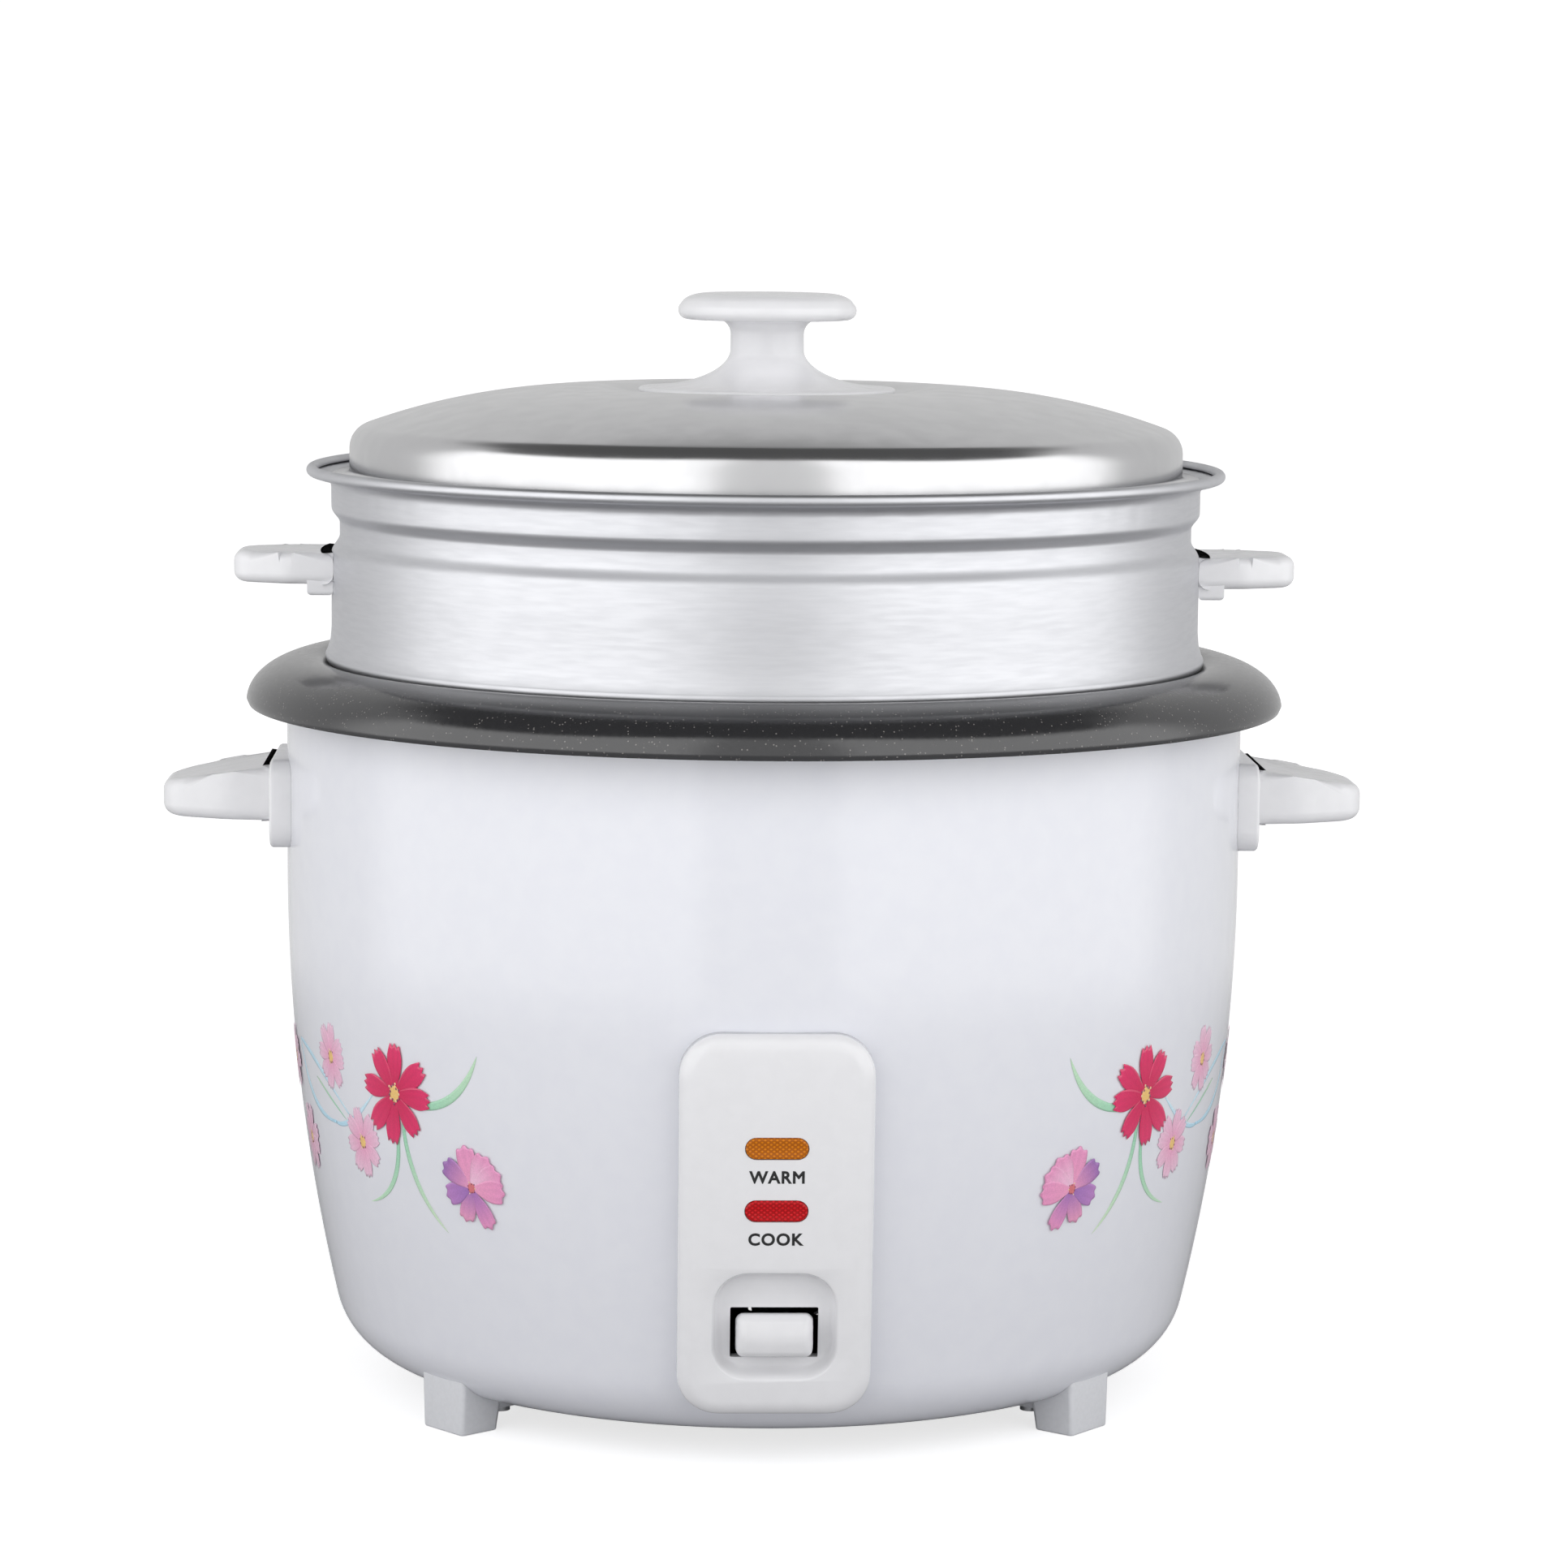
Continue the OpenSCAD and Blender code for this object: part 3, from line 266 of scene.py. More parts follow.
enamel = finish_of("white_enamel", (0.80, 0.81, 0.86), (0.785, 0.795, 0.85), 0.006,
                   (0.07, 0.10), 0.0000012, Coat_Weight=0.25, Coat_Roughness=0.05)
drum_path = ([(base_flat_r - 0.016, base_z)]
             + bend(base_flat_r, corner_z, base_corner, -90, -math.degrees(flank_turn), 16)
             + bend(body_r - flank_r, straight_z, flank_r, -math.degrees(flank_turn) * 0.97, 0, 34)
             + bend(body_r - top_corner, body_h - top_corner, top_corner, 0, 90, 10)
             + [(body_r - 0.0072, body_h)])
bm = turn_profile(drum_path, closed=False)
face_out(bm)
panel_low, panel_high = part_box("control_panel")
inlet_low, inlet_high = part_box("power_inlet")
for side, half, low, high in ((-1, 0.0185, panel_low.z + 0.008, panel_low.z + 0.078),
                              (1, 0.0150, inlet_low.z + 0.0045, inlet_high.z - 0.0045)):
    for spot, way in (((half, 0, 0), (1, 0, 0)), ((-half, 0, 0), (1, 0, 0)),
                      ((0, 0, low), (0, 0, 1)), ((0, 0, high), (0, 0, 1))):
        near = [f for f in bm.faces
                if f.calc_center_median().y * side > 0.08 and abs(f.calc_center_median().x) < 0.03]
        edges = {e for f in near for e in f.edges}
        verts = {v for f in near for v in f.verts}
        bmesh.ops.bisect_plane(bm, geom=near + list(edges) + list(verts), dist=1e-6,
                               plane_co=spot, plane_no=way)
    bmesh.ops.delete(bm, context="FACES", geom=[
        f for f in bm.faces
        if f.calc_center_median().y * side > 0.08 and abs(f.calc_center_median().x) < half
        and low < f.calc_center_median().z < high])
give_wall(piece(bm, "drum", enamel, "housing", "painted_white", "body_shell"), body_wall)

# ------------------------------------------------------------------ printed flowers
# Transfers fired onto the enamel on both sides of the panel: cosmos flowers,
# stems, leaves and a pale ribbon, each a film a few hundredths of a millimetre thick.
film_lift, film_step = 0.00006, 0.000004
crimson, crimson_deep = (0.80, 0.035, 0.155), (0.60, 0.012, 0.085)
blush, blush_deep = (0.91, 0.60, 0.76), (0.86, 0.36, 0.56)
orchid, violet = (0.86, 0.33, 0.58), (0.34, 0.16, 0.48)
pollen, stamen, anther = (0.87, 0.56, 0.19), (0.25, 0.05, 0.13), (0.93, 0.70, 0.42)
leaf_dark, leaf_light = (0.30, 0.66, 0.46), (0.56, 0.78, 0.56)
ribbon_dark, ribbon_light = (0.45, 0.73, 0.90), (0.66, 0.85, 0.95)


def between(a, b, t):
    """A colour part of the way, t, from a to b."""
    return [p + (q - p) * t for p, q in zip(a, b)]


def on_drum(azimuth, z, lift):
    """Point of the drum's face; azimuth in degrees from the front, positive to the right."""
    r, a = flank(z, lift), math.radians(azimuth)
    return Vector((r * math.sin(a), -r * math.cos(a), z))


class Films:
    """Collects printed films in one bmesh, each a little higher than the last."""

    def __init__(self):
        self.bm = bmesh.new()
        self.ink = self.bm.verts.layers.float_color.new("ink")
        self.lift = film_lift

    def lay(self, azimuth, z, across, along, shape, colour):
        """A grid bent by shape(s, t) to millimetres right of and above a spot, coloured by colour(s, t)."""
        made = bmesh.ops.create_grid(self.bm, x_segments=across, y_segments=along, size=0.5)
        for v in made["verts"]:
            s, t = v.co.x * 2, v.co.y + 0.5
            right, over = shape(s, t)
            height = z + over * 0.001
            v.co = on_drum(azimuth + math.degrees(right * 0.001 / flank(height)), height, self.lift)
            v[self.ink] = (*colour(s, t), 1.0)
        self.lift += film_step

    def petal(self, azimuth, z, turn, length, width, inner, outer, teeth=3):
        """A petal with a toothed tip, veined and shaded from inner to outer colour."""
        a = math.radians(turn)

        def shape(s, t):
            half = width * (0.15 + 0.85 * math.sin(math.pi * 0.62 * t) ** 1.3)
            notch = 0.05 * math.cos(math.pi * teeth * s) * max(0.0, (t - 0.8) * 5)
            out = length * t * (1 - 0.13 * s * s * s * s + notch)
            side = half * s
            return out * math.sin(a) + side * math.cos(a), out * math.cos(a) - side * math.sin(a)

        def colour(s, t):
            vein = 1 - 0.10 * (0.5 + 0.5 * math.cos(s * 9.0 + t * 1.5)) * t
            return [c * vein for c in between(inner, outer, t)]

        self.lay(azimuth, z, 12, 12, shape, colour)

    def heart(self, azimuth, z, radius, colour, dots):
        """A flower's middle: a soft disc with a ring of stamens."""

        def round_spot(cx, cy, r):
            def shape(s, t):
                x, y = s, t * 2 - 1
                return (cx + r * x * math.sqrt(1 - y * y / 2), cy + 1.25 * r * y * math.sqrt(1 - x * x / 2))
            return shape

        self.lay(azimuth, z, 6, 6, round_spot(0, 0, radius), lambda s, t: colour)
        for i in range(dots):
            a = 2 * math.pi * i / dots
            reach = radius * (1.02 + 0.22 * math.sin(i * 2.4))
            ink = stamen if i % 3 else anther
            dot = round_spot(reach * math.cos(a), reach * 1.25 * math.sin(a), radius * 0.17)
            self.lay(azimuth, z, 2, 2, dot, lambda s, t: ink)

    def blade(self, azimuth, z, points, width, inner, outer, blunt=0.0):
        """A tapering strip along a curve through three points, in millimetres from a spot."""
        (x0, y0), (x1, y1), (x2, y2) = points

        def shape(s, t):
            u = 1 - t
            x = u * u * x0 + 2 * u * t * x1 + t * t * x2
            y = u * u * y0 + 2 * u * t * y1 + t * t * y2
            dx, dy = 2 * u * (x1 - x0) + 2 * t * (x2 - x1), 2 * u * (y1 - y0) + 2 * t * (y2 - y1)
            size = math.hypot(dx, dy)
            half = width / 2 * max(blunt, math.sin(math.pi * (0.12 + 0.88 * t)) ** 0.7) * s
            return x - dy / size * half, y + dx / size * half

        self.lay(azimuth, z, 4, 24, shape, lambda s, t: between(inner, outer, t))

    def flower(self, azimuth, z, size, turn, petals, width, inner, outer):
        """A ring of petals, none quite like the next in place or length."""
        for i in range(petals):
            a = turn + 360 * i / petals + 5 * math.sin(i * 2.1)
            reach = size * (1 + 0.07 * math.sin(i * 1.7 + turn))
            self.petal(azimuth, z, a, reach, width, inner, outer)


films = Films()
main_spot, fan_spot, ribbon_spot = (-49.7, 0.0947), (-37.9, 0.0726), (-77.2, 0.100)
# Ribbon and stems lie under the flowers
films.blade(*ribbon_spot, ((0, 0), (17, -1), (38, -15)), 1.5, ribbon_dark, ribbon_light, 0.45)
films.blade(*ribbon_spot, ((0, 0), (8, -20), (29, -18.5)), 2.0, ribbon_light, ribbon_dark, 0.45)
films.blade(-64.6, 0.0814, ((0, 0), (10, -1), (24, 12)), 1.5, ribbon_dark, ribbon_light, 0.35)
films.blade(-70.0, 0.092, ((0, 0), (8, -3), (20, -9)), 0.7, leaf_light, leaf_dark)
films.blade(*main_spot, ((4, -2), (24, -4), (31.5, 14)), 2.4, leaf_dark, leaf_light)
films.blade(*main_spot, ((-0.6, -6), (1.6, -28), (-17, -32.5)), 1.6, leaf_dark, leaf_light)
films.blade(*main_spot, ((2.4, -5), (1.6, -24), (16, -36)), 1.7, leaf_dark, (0.66, 0.80, 0.60))
# Pale cosmos behind the main flower
for azimuth, z, size, turn in ((-64.3, 0.0996, 8.6, 8), (-57.6, 0.0786, 8.9, -12),
                               (-76.4, 0.0726, 8.9, 20), (-82.8, 0.0930, 9.2, 4)):
    films.flower(azimuth, z, size, turn, 8, 2.4, blush_deep, blush)
    films.heart(azimuth, z, 1.45, pollen, 9)
# Main flower
films.flower(*main_spot, 13.6, 6, 8, 3.05, crimson_deep, crimson)
films.heart(*main_spot, 1.9, pollen, 15)
# Two-coloured flower with a fan of broad petals
for turn, reach, width, inner, outer in (
        (-8, 11.2, 3.2, blush_deep, orchid), (34, 10.6, 3.6, blush, orchid),
        (64, 10.6, 3.6, blush, orchid), (92, 10.4, 3.2, blush_deep, orchid),
        (152, 11.6, 2.5, violet, orchid), (197, 9.6, 2.6, violet, blush_deep),
        (250, 9.2, 3.0, violet, (0.52, 0.24, 0.58)), (302, 10.6, 3.0, blush_deep, violet)):
    films.petal(*fan_spot, turn, reach, width, inner, outer, 2)
films.heart(*fan_spot, 1.15, (0.68, 0.18, 0.20), 9)

bm = films.bm
bmesh.ops.mirror(bm, geom=bm.verts[:] + bm.edges[:] + bm.faces[:], merge_dist=0.0, axis="X")
bm.normal_update()
inward = [f for f in bm.faces if f.normal.dot(Vector((*f.calc_center_median()[:2], 0))) < 0]
bmesh.ops.reverse_faces(bm, faces=inward)

flower_ink, tree, shader = bare_finish("flower_ink")
ink = tree.nodes.new("ShaderNodeVertexColor")
ink.layer_name = "ink"
dots = tree.nodes.new("ShaderNodeTexNoise")
dots.inputs["Scale"].default_value = 2600.0
wire(tree, tree.nodes.new("ShaderNodeTexCoord").outputs["Object"], dots.inputs["Vector"])
speckle = ramp_up(tree, dots.outputs[0], 0.3, 0.7, 0.94, 1.06)
wire(tree, blended(tree, 1.0, ink.outputs[0], speckle, "MULTIPLY"), shader.inputs["Base Color"])
wire(tree, ramp_up(tree, dots.outputs[0], 0.3, 0.7, 0.10, 0.16), shader.inputs["Roughness"])
shader.inputs["Coat Weight"].default_value = 0.25
shader.inputs["Coat Roughness"].default_value = 0.05
give_wall(piece(bm, "printed_flowers", flower_ink, "housing", "painted_white"), 0.00003)

# ------------------------------------------------------------------ liner, base and their screws
# The liner is a spun steel cup that holds the works up and the pot's heat in;
# the base plate is a slotted zinc-plated disc, and screws and nuts are zinc plated.
liner_low, liner_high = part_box("inner_liner")
liner_z, liner_top, liner_wall, liner_r = liner_low.z, liner_high.z, 0.0006, body_r - body_wall - 0.0078
rear = liner_r - 0.012


def thicken(path, wall):
    """Closed outline of a sheet as thick as wall, on the left of a profile."""
    other = []
    for i, here in enumerate(path):
        a, b = path[max(i - 1, 0)], path[min(i + 1, len(path) - 1)]
        dr, dz = b[0] - a[0], b[1] - a[1]
        size = math.hypot(dr, dz)
        other.append((max(here[0] - dz / size * wall, 0.0), here[1] + dr / size * wall))
    return path + other[::-1]


brushed_liner = finish_of("brushed_liner", (0.60, 0.61, 0.62), (0.52, 0.53, 0.54), 0.004,
                          (0.24, 0.40), 0.000004, metallic=1.0, stretch=(1, 1, 14))
zinc = finish_of("zinc_plate", (0.62, 0.63, 0.64), (0.54, 0.55, 0.58), 0.003,
                 (0.26, 0.42), 0.000008, metallic=1.0)
liner_path = ([(0.024, liner_z)] + bend(rear, liner_z + 0.012, 0.012, -90, 0, 10)
              + bend(liner_r + 0.002, liner_top - liner_wall - 0.002, 0.002, 180, 90, 6)
              + [(liner_high.x, liner_top - liner_wall)])
piece(turn_profile(thicken(liner_path, liner_wall)), "liner", brushed_liner, "housing",
      "liner_steel", "inner_liner")


def dress(finish, *names):
    """Gives CAD nodes that keep their shape a finish of their own."""
    for name in names:
        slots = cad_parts[name].data.materials
        slots.clear()
        slots.append(finish)


dress(zinc, "base_plate", "base_screws", "foot_screws", "foot_nuts", "body_handle_screws",
      "panel_screws", "heater_screws", "steamer_handle_screws", "knob_screw", "knob_washer",
      "inlet_screws")

# ------------------------------------------------------------------ feet
# Four moulded feet of satin white plastic with drafted sides, each trimmed to
# the curve of the drum and held by one screw through a tab under it.
foot_white = finish_of("foot_plastic", (0.74, 0.75, 0.78), (0.71, 0.72, 0.75), 0.0012,
                       (0.30, 0.42), 0.00001)
fit_gap = 0.00003


def soften(bm, edges, width, steps, clamp=False):
    """Rounds edges to the given width."""
    bmesh.ops.bevel(bm, geom=list(edges), offset=width, offset_type="OFFSET", segments=steps,
                    profile=0.5, affect="EDGES", material=-1, clamp_overlap=clamp)


def drum_under(r):
    """Height of the drum's underside at radius r."""
    return corner_z - math.sqrt(max(base_corner ** 2 - max(r - base_flat_r, 0.0) ** 2, 0.0))


def foot_shape(angle):
    """A foot: a block with drafted sides, cut to the drum's underside, and its screw tab."""
    bm = bmesh.new()
    outer, length, width, top, draft = base_flat_r + 0.0153, 0.0134, 0.018, 0.022, 0.001
    for v in bmesh.ops.create_cube(bm, size=1.0)["verts"]:
        high = v.co.z > 0
        inset = 0.0 if high or v.co.x > 0 else draft
        v.co = Vector((outer - length / 2 + v.co.x * length + inset,
                       v.co.y * (width - (0 if high else 1.2 * draft)), top if high else 0.0))
    standing = [e for e in bm.edges if e.verts[0].co.z * e.verts[1].co.z < 1e-9
                and abs(e.verts[0].co.z - e.verts[1].co.z) > 0.01]
    soften(bm, standing, 0.0011, 4)
    sole = [e for e in bm.edges if e.verts[0].co.z < 1e-6 and e.verts[1].co.z < 1e-6]
    soften(bm, sole, 0.0007, 3)
    strips = 12
    for i in range(1, strips):
        bmesh.ops.bisect_plane(bm, geom=bm.verts[:] + bm.edges[:] + bm.faces[:], dist=1e-6,
                               plane_co=(outer - length + length * i / strips, 0, 0), plane_no=(1, 0, 0))
    for v in bm.verts:
        v.co.z = min(v.co.z, drum_under(Vector(v.co[:2]).length) - fit_gap)
    tab = bmesh.ops.create_cube(bm, size=1.0)["verts"]
    inner = base_flat_r - 0.0089
    for v in tab:
        v.co = Vector((inner if v.co.x < 0 else outer - length + 0.001, v.co.y * 0.012,
                       base_z - (0.003 if v.co.z < 0 else fit_gap)))
    soften(bm, {e for v in tab for e in v.link_edges}, 0.0004, 2)
    bmesh.ops.rotate(bm, verts=bm.verts, cent=(0, 0, 0),
                     matrix=Quaternion((0, 0, 1), math.radians(angle)).to_matrix())
    bmesh.ops.recalc_face_normals(bm, faces=bm.faces)
    return bm


for name, angle in (("foot_front_left", -140), ("foot_front_right", -40),
                    ("foot_rear_left", 140), ("foot_rear_right", 40)):
    piece(foot_shape(angle), name + "_block", foot_white, "housing", "foot_plastic", name)

# ------------------------------------------------------------------ body handles
# Moulded grips of glossy white plastic: a mounting plate that follows the drum
# and a tapered grip with rounded edges, screwed on from inside.
gloss_white = finish_of("gloss_white_plastic", (0.83, 0.83, 0.85), (0.81, 0.81, 0.83), 0.005,
                        (0.16, 0.24), 0.000003)


def round_corners(points, radius, steps=8):
    """Rounds each corner of a closed outline; radius is one number or one for each corner."""
    made = []
    for i, here in enumerate(points):
        r = radius[i] if isinstance(radius, (list, tuple)) else radius
        here = Vector(here)
        a = (Vector(points[i - 1]) - here).normalized()
        b = (Vector(points[(i + 1) % len(points)]) - here).normalized()
        half = a.angle(b) / 2
        middle = here + (a + b).normalized() * (r / math.sin(half))
        start = here + a * (r / math.tan(half)) - middle
        end = here + b * (r / math.tan(half)) - middle
        sweep = start.angle_signed(end)
        for k in range(steps + 1):
            t = sweep * k / steps
            c, s = math.cos(-t), math.sin(-t)
            made.append(middle + Vector((start.x * c - start.y * s, start.x * s + start.y * c)))
    return made


def raise_face(bm, points):
    """Fills an outline and extrudes it; returns the first face and the new one, still in one place."""
    first = bm.faces.new([bm.verts.new(p) for p in points])
    grown = bmesh.ops.extrude_face_region(bm, geom=[first])["geom"]
    return first, [f for f in grown if isinstance(f, bmesh.types.BMFace)][0]


def slab(bm, outline, low, high, edge_low, edge_high, steps=6):
    """A plate over an outline in plan, from low(x) to high(x), with rounded upper and lower edges."""
    bottom, top = raise_face(bm, [(p[0], p[1], low(p[0])) for p in outline])
    for v in top.verts:
        v.co.z = high(v.co.x)
    for face, width in ((top, edge_high), (bottom, edge_low)):
        soften(bm, face.edges, width, steps)
    bmesh.ops.recalc_face_normals(bm, faces=bm.faces)


def to_side(bm, side):
    """Turns a right-hand handle half way round if it belongs on the left."""
    if side < 0:
        bmesh.ops.rotate(bm, verts=bm.verts, cent=(0, 0, 0),
                         matrix=Quaternion((0, 0, 1), math.pi).to_matrix())
    bmesh.ops.recalc_face_normals(bm, faces=bm.faces)
    return bm


def body_handle_shape(side):
    """A body handle: a rounded plate that sits on the drum and a grip that stands out from it."""
    bm = bmesh.new()
    middle, face, tip = body_h - 0.0382, body_r + 0.0038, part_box("body_handle_right")[1].x
    plate = round_corners([(-0.025, -0.0122), (0.025, -0.0122), (0.025, 0.0122), (-0.025, 0.0122)], 0.006)
    back, front = raise_face(bm, [(body_r - 0.006, y, middle + z) for y, z in plate])
    for v in front.verts:
        v.co.x = face
    for v in back.verts:
        v.co.x = math.sqrt(flank(v.co.z) ** 2 - v.co.y ** 2) + fit_gap
    soften(bm, front.edges, 0.0011, 5)
    mid = middle + 0.0014
    grip = round_corners([(face - 0.001, -0.021), (face + 0.013, -0.0202), (tip, -0.0135),
                          (tip, 0.0135), (face + 0.013, 0.0202), (face - 0.001, 0.021)],
                         [0.0002, 0.02, 0.0105, 0.0105, 0.02, 0.0002], 12)
    slope = 0.0048 / (tip - face)
    slab(bm, grip, lambda x: mid - 0.0063 + (x - face) * 0.012,
         lambda x: mid + 0.0090 - (x - face) * slope, 0.0034, 0.0030, 8)
    return to_side(bm, side)


for name, side in (("body_handle_left", -1), ("body_handle_right", 1)):
    piece(body_handle_shape(side), name + "_grip", gloss_white, "housing", "white_plastic", name)

# ------------------------------------------------------------------ control panel
# One glossy moulding that follows the drum's flank: softly rounded edges, a
# scooped finger pocket with a square window for the key, and two lamp slots.
panel_proud, panel_w = 0.0058, panel_high.x - panel_low.x
panel_z, panel_h = panel_low.z, panel_high.z - panel_low.z
panel_mid = panel_z + panel_h / 2
lamp_heights = (panel_z + 0.0558, panel_z + 0.0725)
pocket_z, window_z = panel_z + 0.0242, panel_z + 0.0206


def rounded(w, h, r, steps=10):
    """Outline of a rectangle with round corners."""
    return round_corners([(-w / 2, -h / 2), (w / 2, -h / 2), (w / 2, h / 2), (-w / 2, h / 2)], r, steps)


def panel_point(x, z, depth=0.0):
    """A point x across and z up the panel's face, depth below it, square to the face."""
    a = math.asin(max(straight_z - z, 0.0) / (flank_r + panel_proud))
    r = flank_r + panel_proud - depth
    rise = z - straight_z if z > straight_z else 0.0
    return Vector((x, -(body_r - flank_r + r * math.cos(a)), straight_z - r * math.sin(a) + rise))


def ring_of(bm, points):
    """A closed loop of edges through points."""
    verts = [bm.verts.new(p) for p in points]
    return [bm.edges.new((a, b)) for a, b in zip(verts, verts[1:] + verts[:1])]


def bridge(bm, rings):
    """Skins a stack of loops, each to the next."""
    for a, b in zip(rings, rings[1:]):
        bmesh.ops.bridge_loops(bm, edges=a + b)


bm = bmesh.new()
face_w, face_h, face_r = panel_w - 0.0084, panel_h - 0.0070, 0.0068
# The face is filled flat, cut into strips and then laid on the flank
outer = ring_of(bm, [(x, panel_mid + z, 0) for x, z in rounded(face_w, face_h, face_r)])
pocket_w, pocket_h, pocket_r, pocket_depth = 0.033, 0.030, 0.0095, 0.0050
mouth = ring_of(bm, [(x, pocket_z + z, 0) for x, z in rounded(pocket_w, pocket_h, pocket_r)])
slots = [ring_of(bm, [(x, z + h, 0) for x, h in rounded(0.0165, 0.0059, 0.00294, 8)]) for z in lamp_heights]
bmesh.ops.triangle_fill(bm, use_beauty=True, normal=(0, 0, 1),
                        edges=outer + mouth + slots[0] + slots[1])
strips = 40
for i in range(1, strips):
    bmesh.ops.bisect_plane(bm, geom=bm.verts[:] + bm.edges[:] + bm.faces[:], dist=1e-7,
                           plane_co=(0, panel_z + panel_h * i / strips, 0), plane_no=(0, 1, 0))
bmesh.ops.dissolve_limit(bm, angle_limit=0.001, verts=bm.verts, edges=[
    e for e in bm.edges if len(e.link_faces) == 2 and abs(e.verts[0].co.y - e.verts[1].co.y) > 1e-6])


def open_loops():
    """The bmesh's open edges, as one list of edges for each loop."""
    left = {e for e in bm.edges if len(e.link_faces) == 1}
    loops = []
    while left:
        loop, front = set(), [left.pop()]
        while front:
            e = front.pop()
            loop.add(e)
            for v in e.verts:
                for n in v.link_edges:
                    if n in left:
                        left.discard(n)
                        front.append(n)
        loops.append(list(loop))
    return loops


def step_out(loop, move):
    """Extrudes a loop of open edges and puts each new point where move says."""
    grown = bmesh.ops.extrude_edge_only(bm, edges=loop)["geom"]
    for v in grown:
        if isinstance(v, bmesh.types.BMVert):
            v.co = move(v.co.copy())
    return [e for e in grown if isinstance(e, bmesh.types.BMEdge) and len(e.link_faces) == 1]


def grown_outline(spot, centre, w, h, r, grow):
    """Moves a point of a rounded rectangle's outline outwards by grow, square to the outline."""
    x, z = spot[0] - centre[0], spot[1] - centre[1]
    kx, kz = max(min(x, w / 2 - r), r - w / 2), max(min(z, h / 2 - r), r - h / 2)
    away = Vector((x - kx, z - kz))
    if away.length < 1e-9:
        return spot
    away.normalize()
    return Vector((spot[0] + away.x * grow, spot[1] + away.y * grow, spot[2]))


loops = open_loops()
loops.sort(key=lambda loop: (max(v.co.x for e in loop for v in e.verts),
                             max(v.co.y for e in loop for v in e.verts)))
slot_loops, mouth_loop, outer_loop = loops[:2], loops[2], loops[3]
# x, y and z are across, up and depth until the whole moulding is laid on the flank
ring, last, edge_steps = outer_loop, 0.0, 10
for k in range(1, edge_steps + 1):
    a = math.radians(90 * k / edge_steps)
    grow, depth = 0.0042 * math.sin(a), 0.0032 * (1 - math.cos(a))
    ring = step_out(ring, lambda co: Vector((*grown_outline(
        co, (0, panel_mid), face_w, face_h, face_r, grow - last)[:2], depth)))
    last = grow
# A depth of on_flank marks the points that end on the drum itself
on_flank = 1.0
step_out(ring, lambda co: Vector((co.x, co.y, on_flank)))
for loop in slot_loops:
    step_out(loop, lambda co: Vector((co.x, co.y, 0.0024)))
# The scoop's walls step inwards and down as they deepen, to end round the window
ring, last, sunk = mouth_loop, 0.0, 0.0
for inset, depth, drop in ((0.0002, 0.0001, 0.0), (0.0004, 0.0004, 0.0), (0.0007, 0.0011, 0.0),
                           (0.0010, 0.0022, 0.0), (0.0014, 0.0034, 0.0002), (0.0019, 0.0043, 0.0005),
                           (0.0026, 0.0048, 0.0009), (0.0032, pocket_depth, 0.0012)):
    ring = step_out(ring, lambda co: Vector((*grown_outline(
        co, (0, pocket_z - sunk), pocket_w, pocket_h, pocket_r, last - inset)[:2], depth))
        - Vector((0, drop - sunk, 0)))
    last, sunk = inset, drop
window = ring_of(bm, [(x, window_z + z, pocket_depth) for x, z in rounded(0.0229, 0.0140, 0.0004, 3)])
bmesh.ops.triangle_fill(bm, use_beauty=True, normal=(0, 0, 1), edges=ring + window)
step_out(window, lambda co: Vector((co.x, co.y, pocket_depth + 0.0024)))
bmesh.ops.recalc_face_normals(bm, faces=bm.faces)
for v in bm.verts:
    x, z, depth = v.co
    if depth == on_flank:
        v.co = Vector((x, -math.sqrt(flank(z) ** 2 - x * x) - fit_gap, z))
    elif abs(x) > face_w / 2 or abs(z - panel_mid) > face_h / 2:
        v.co = Vector((x, -flank(z, panel_proud - depth), z))
    else:
        v.co = panel_point(x, z, depth)
bm.normal_update()
if max(bm.faces, key=lambda f: f.calc_area()).normal.y > 0:
    bmesh.ops.reverse_faces(bm, faces=bm.faces)
panel_white = finish_of("panel_plastic", (0.85, 0.85, 0.87), (0.835, 0.835, 0.855), 0.004,
                        (0.12, 0.18), 0.0000025)
give_wall(piece(bm, "panel", panel_white, "housing", "white_plastic", "control_panel"), 0.0012)

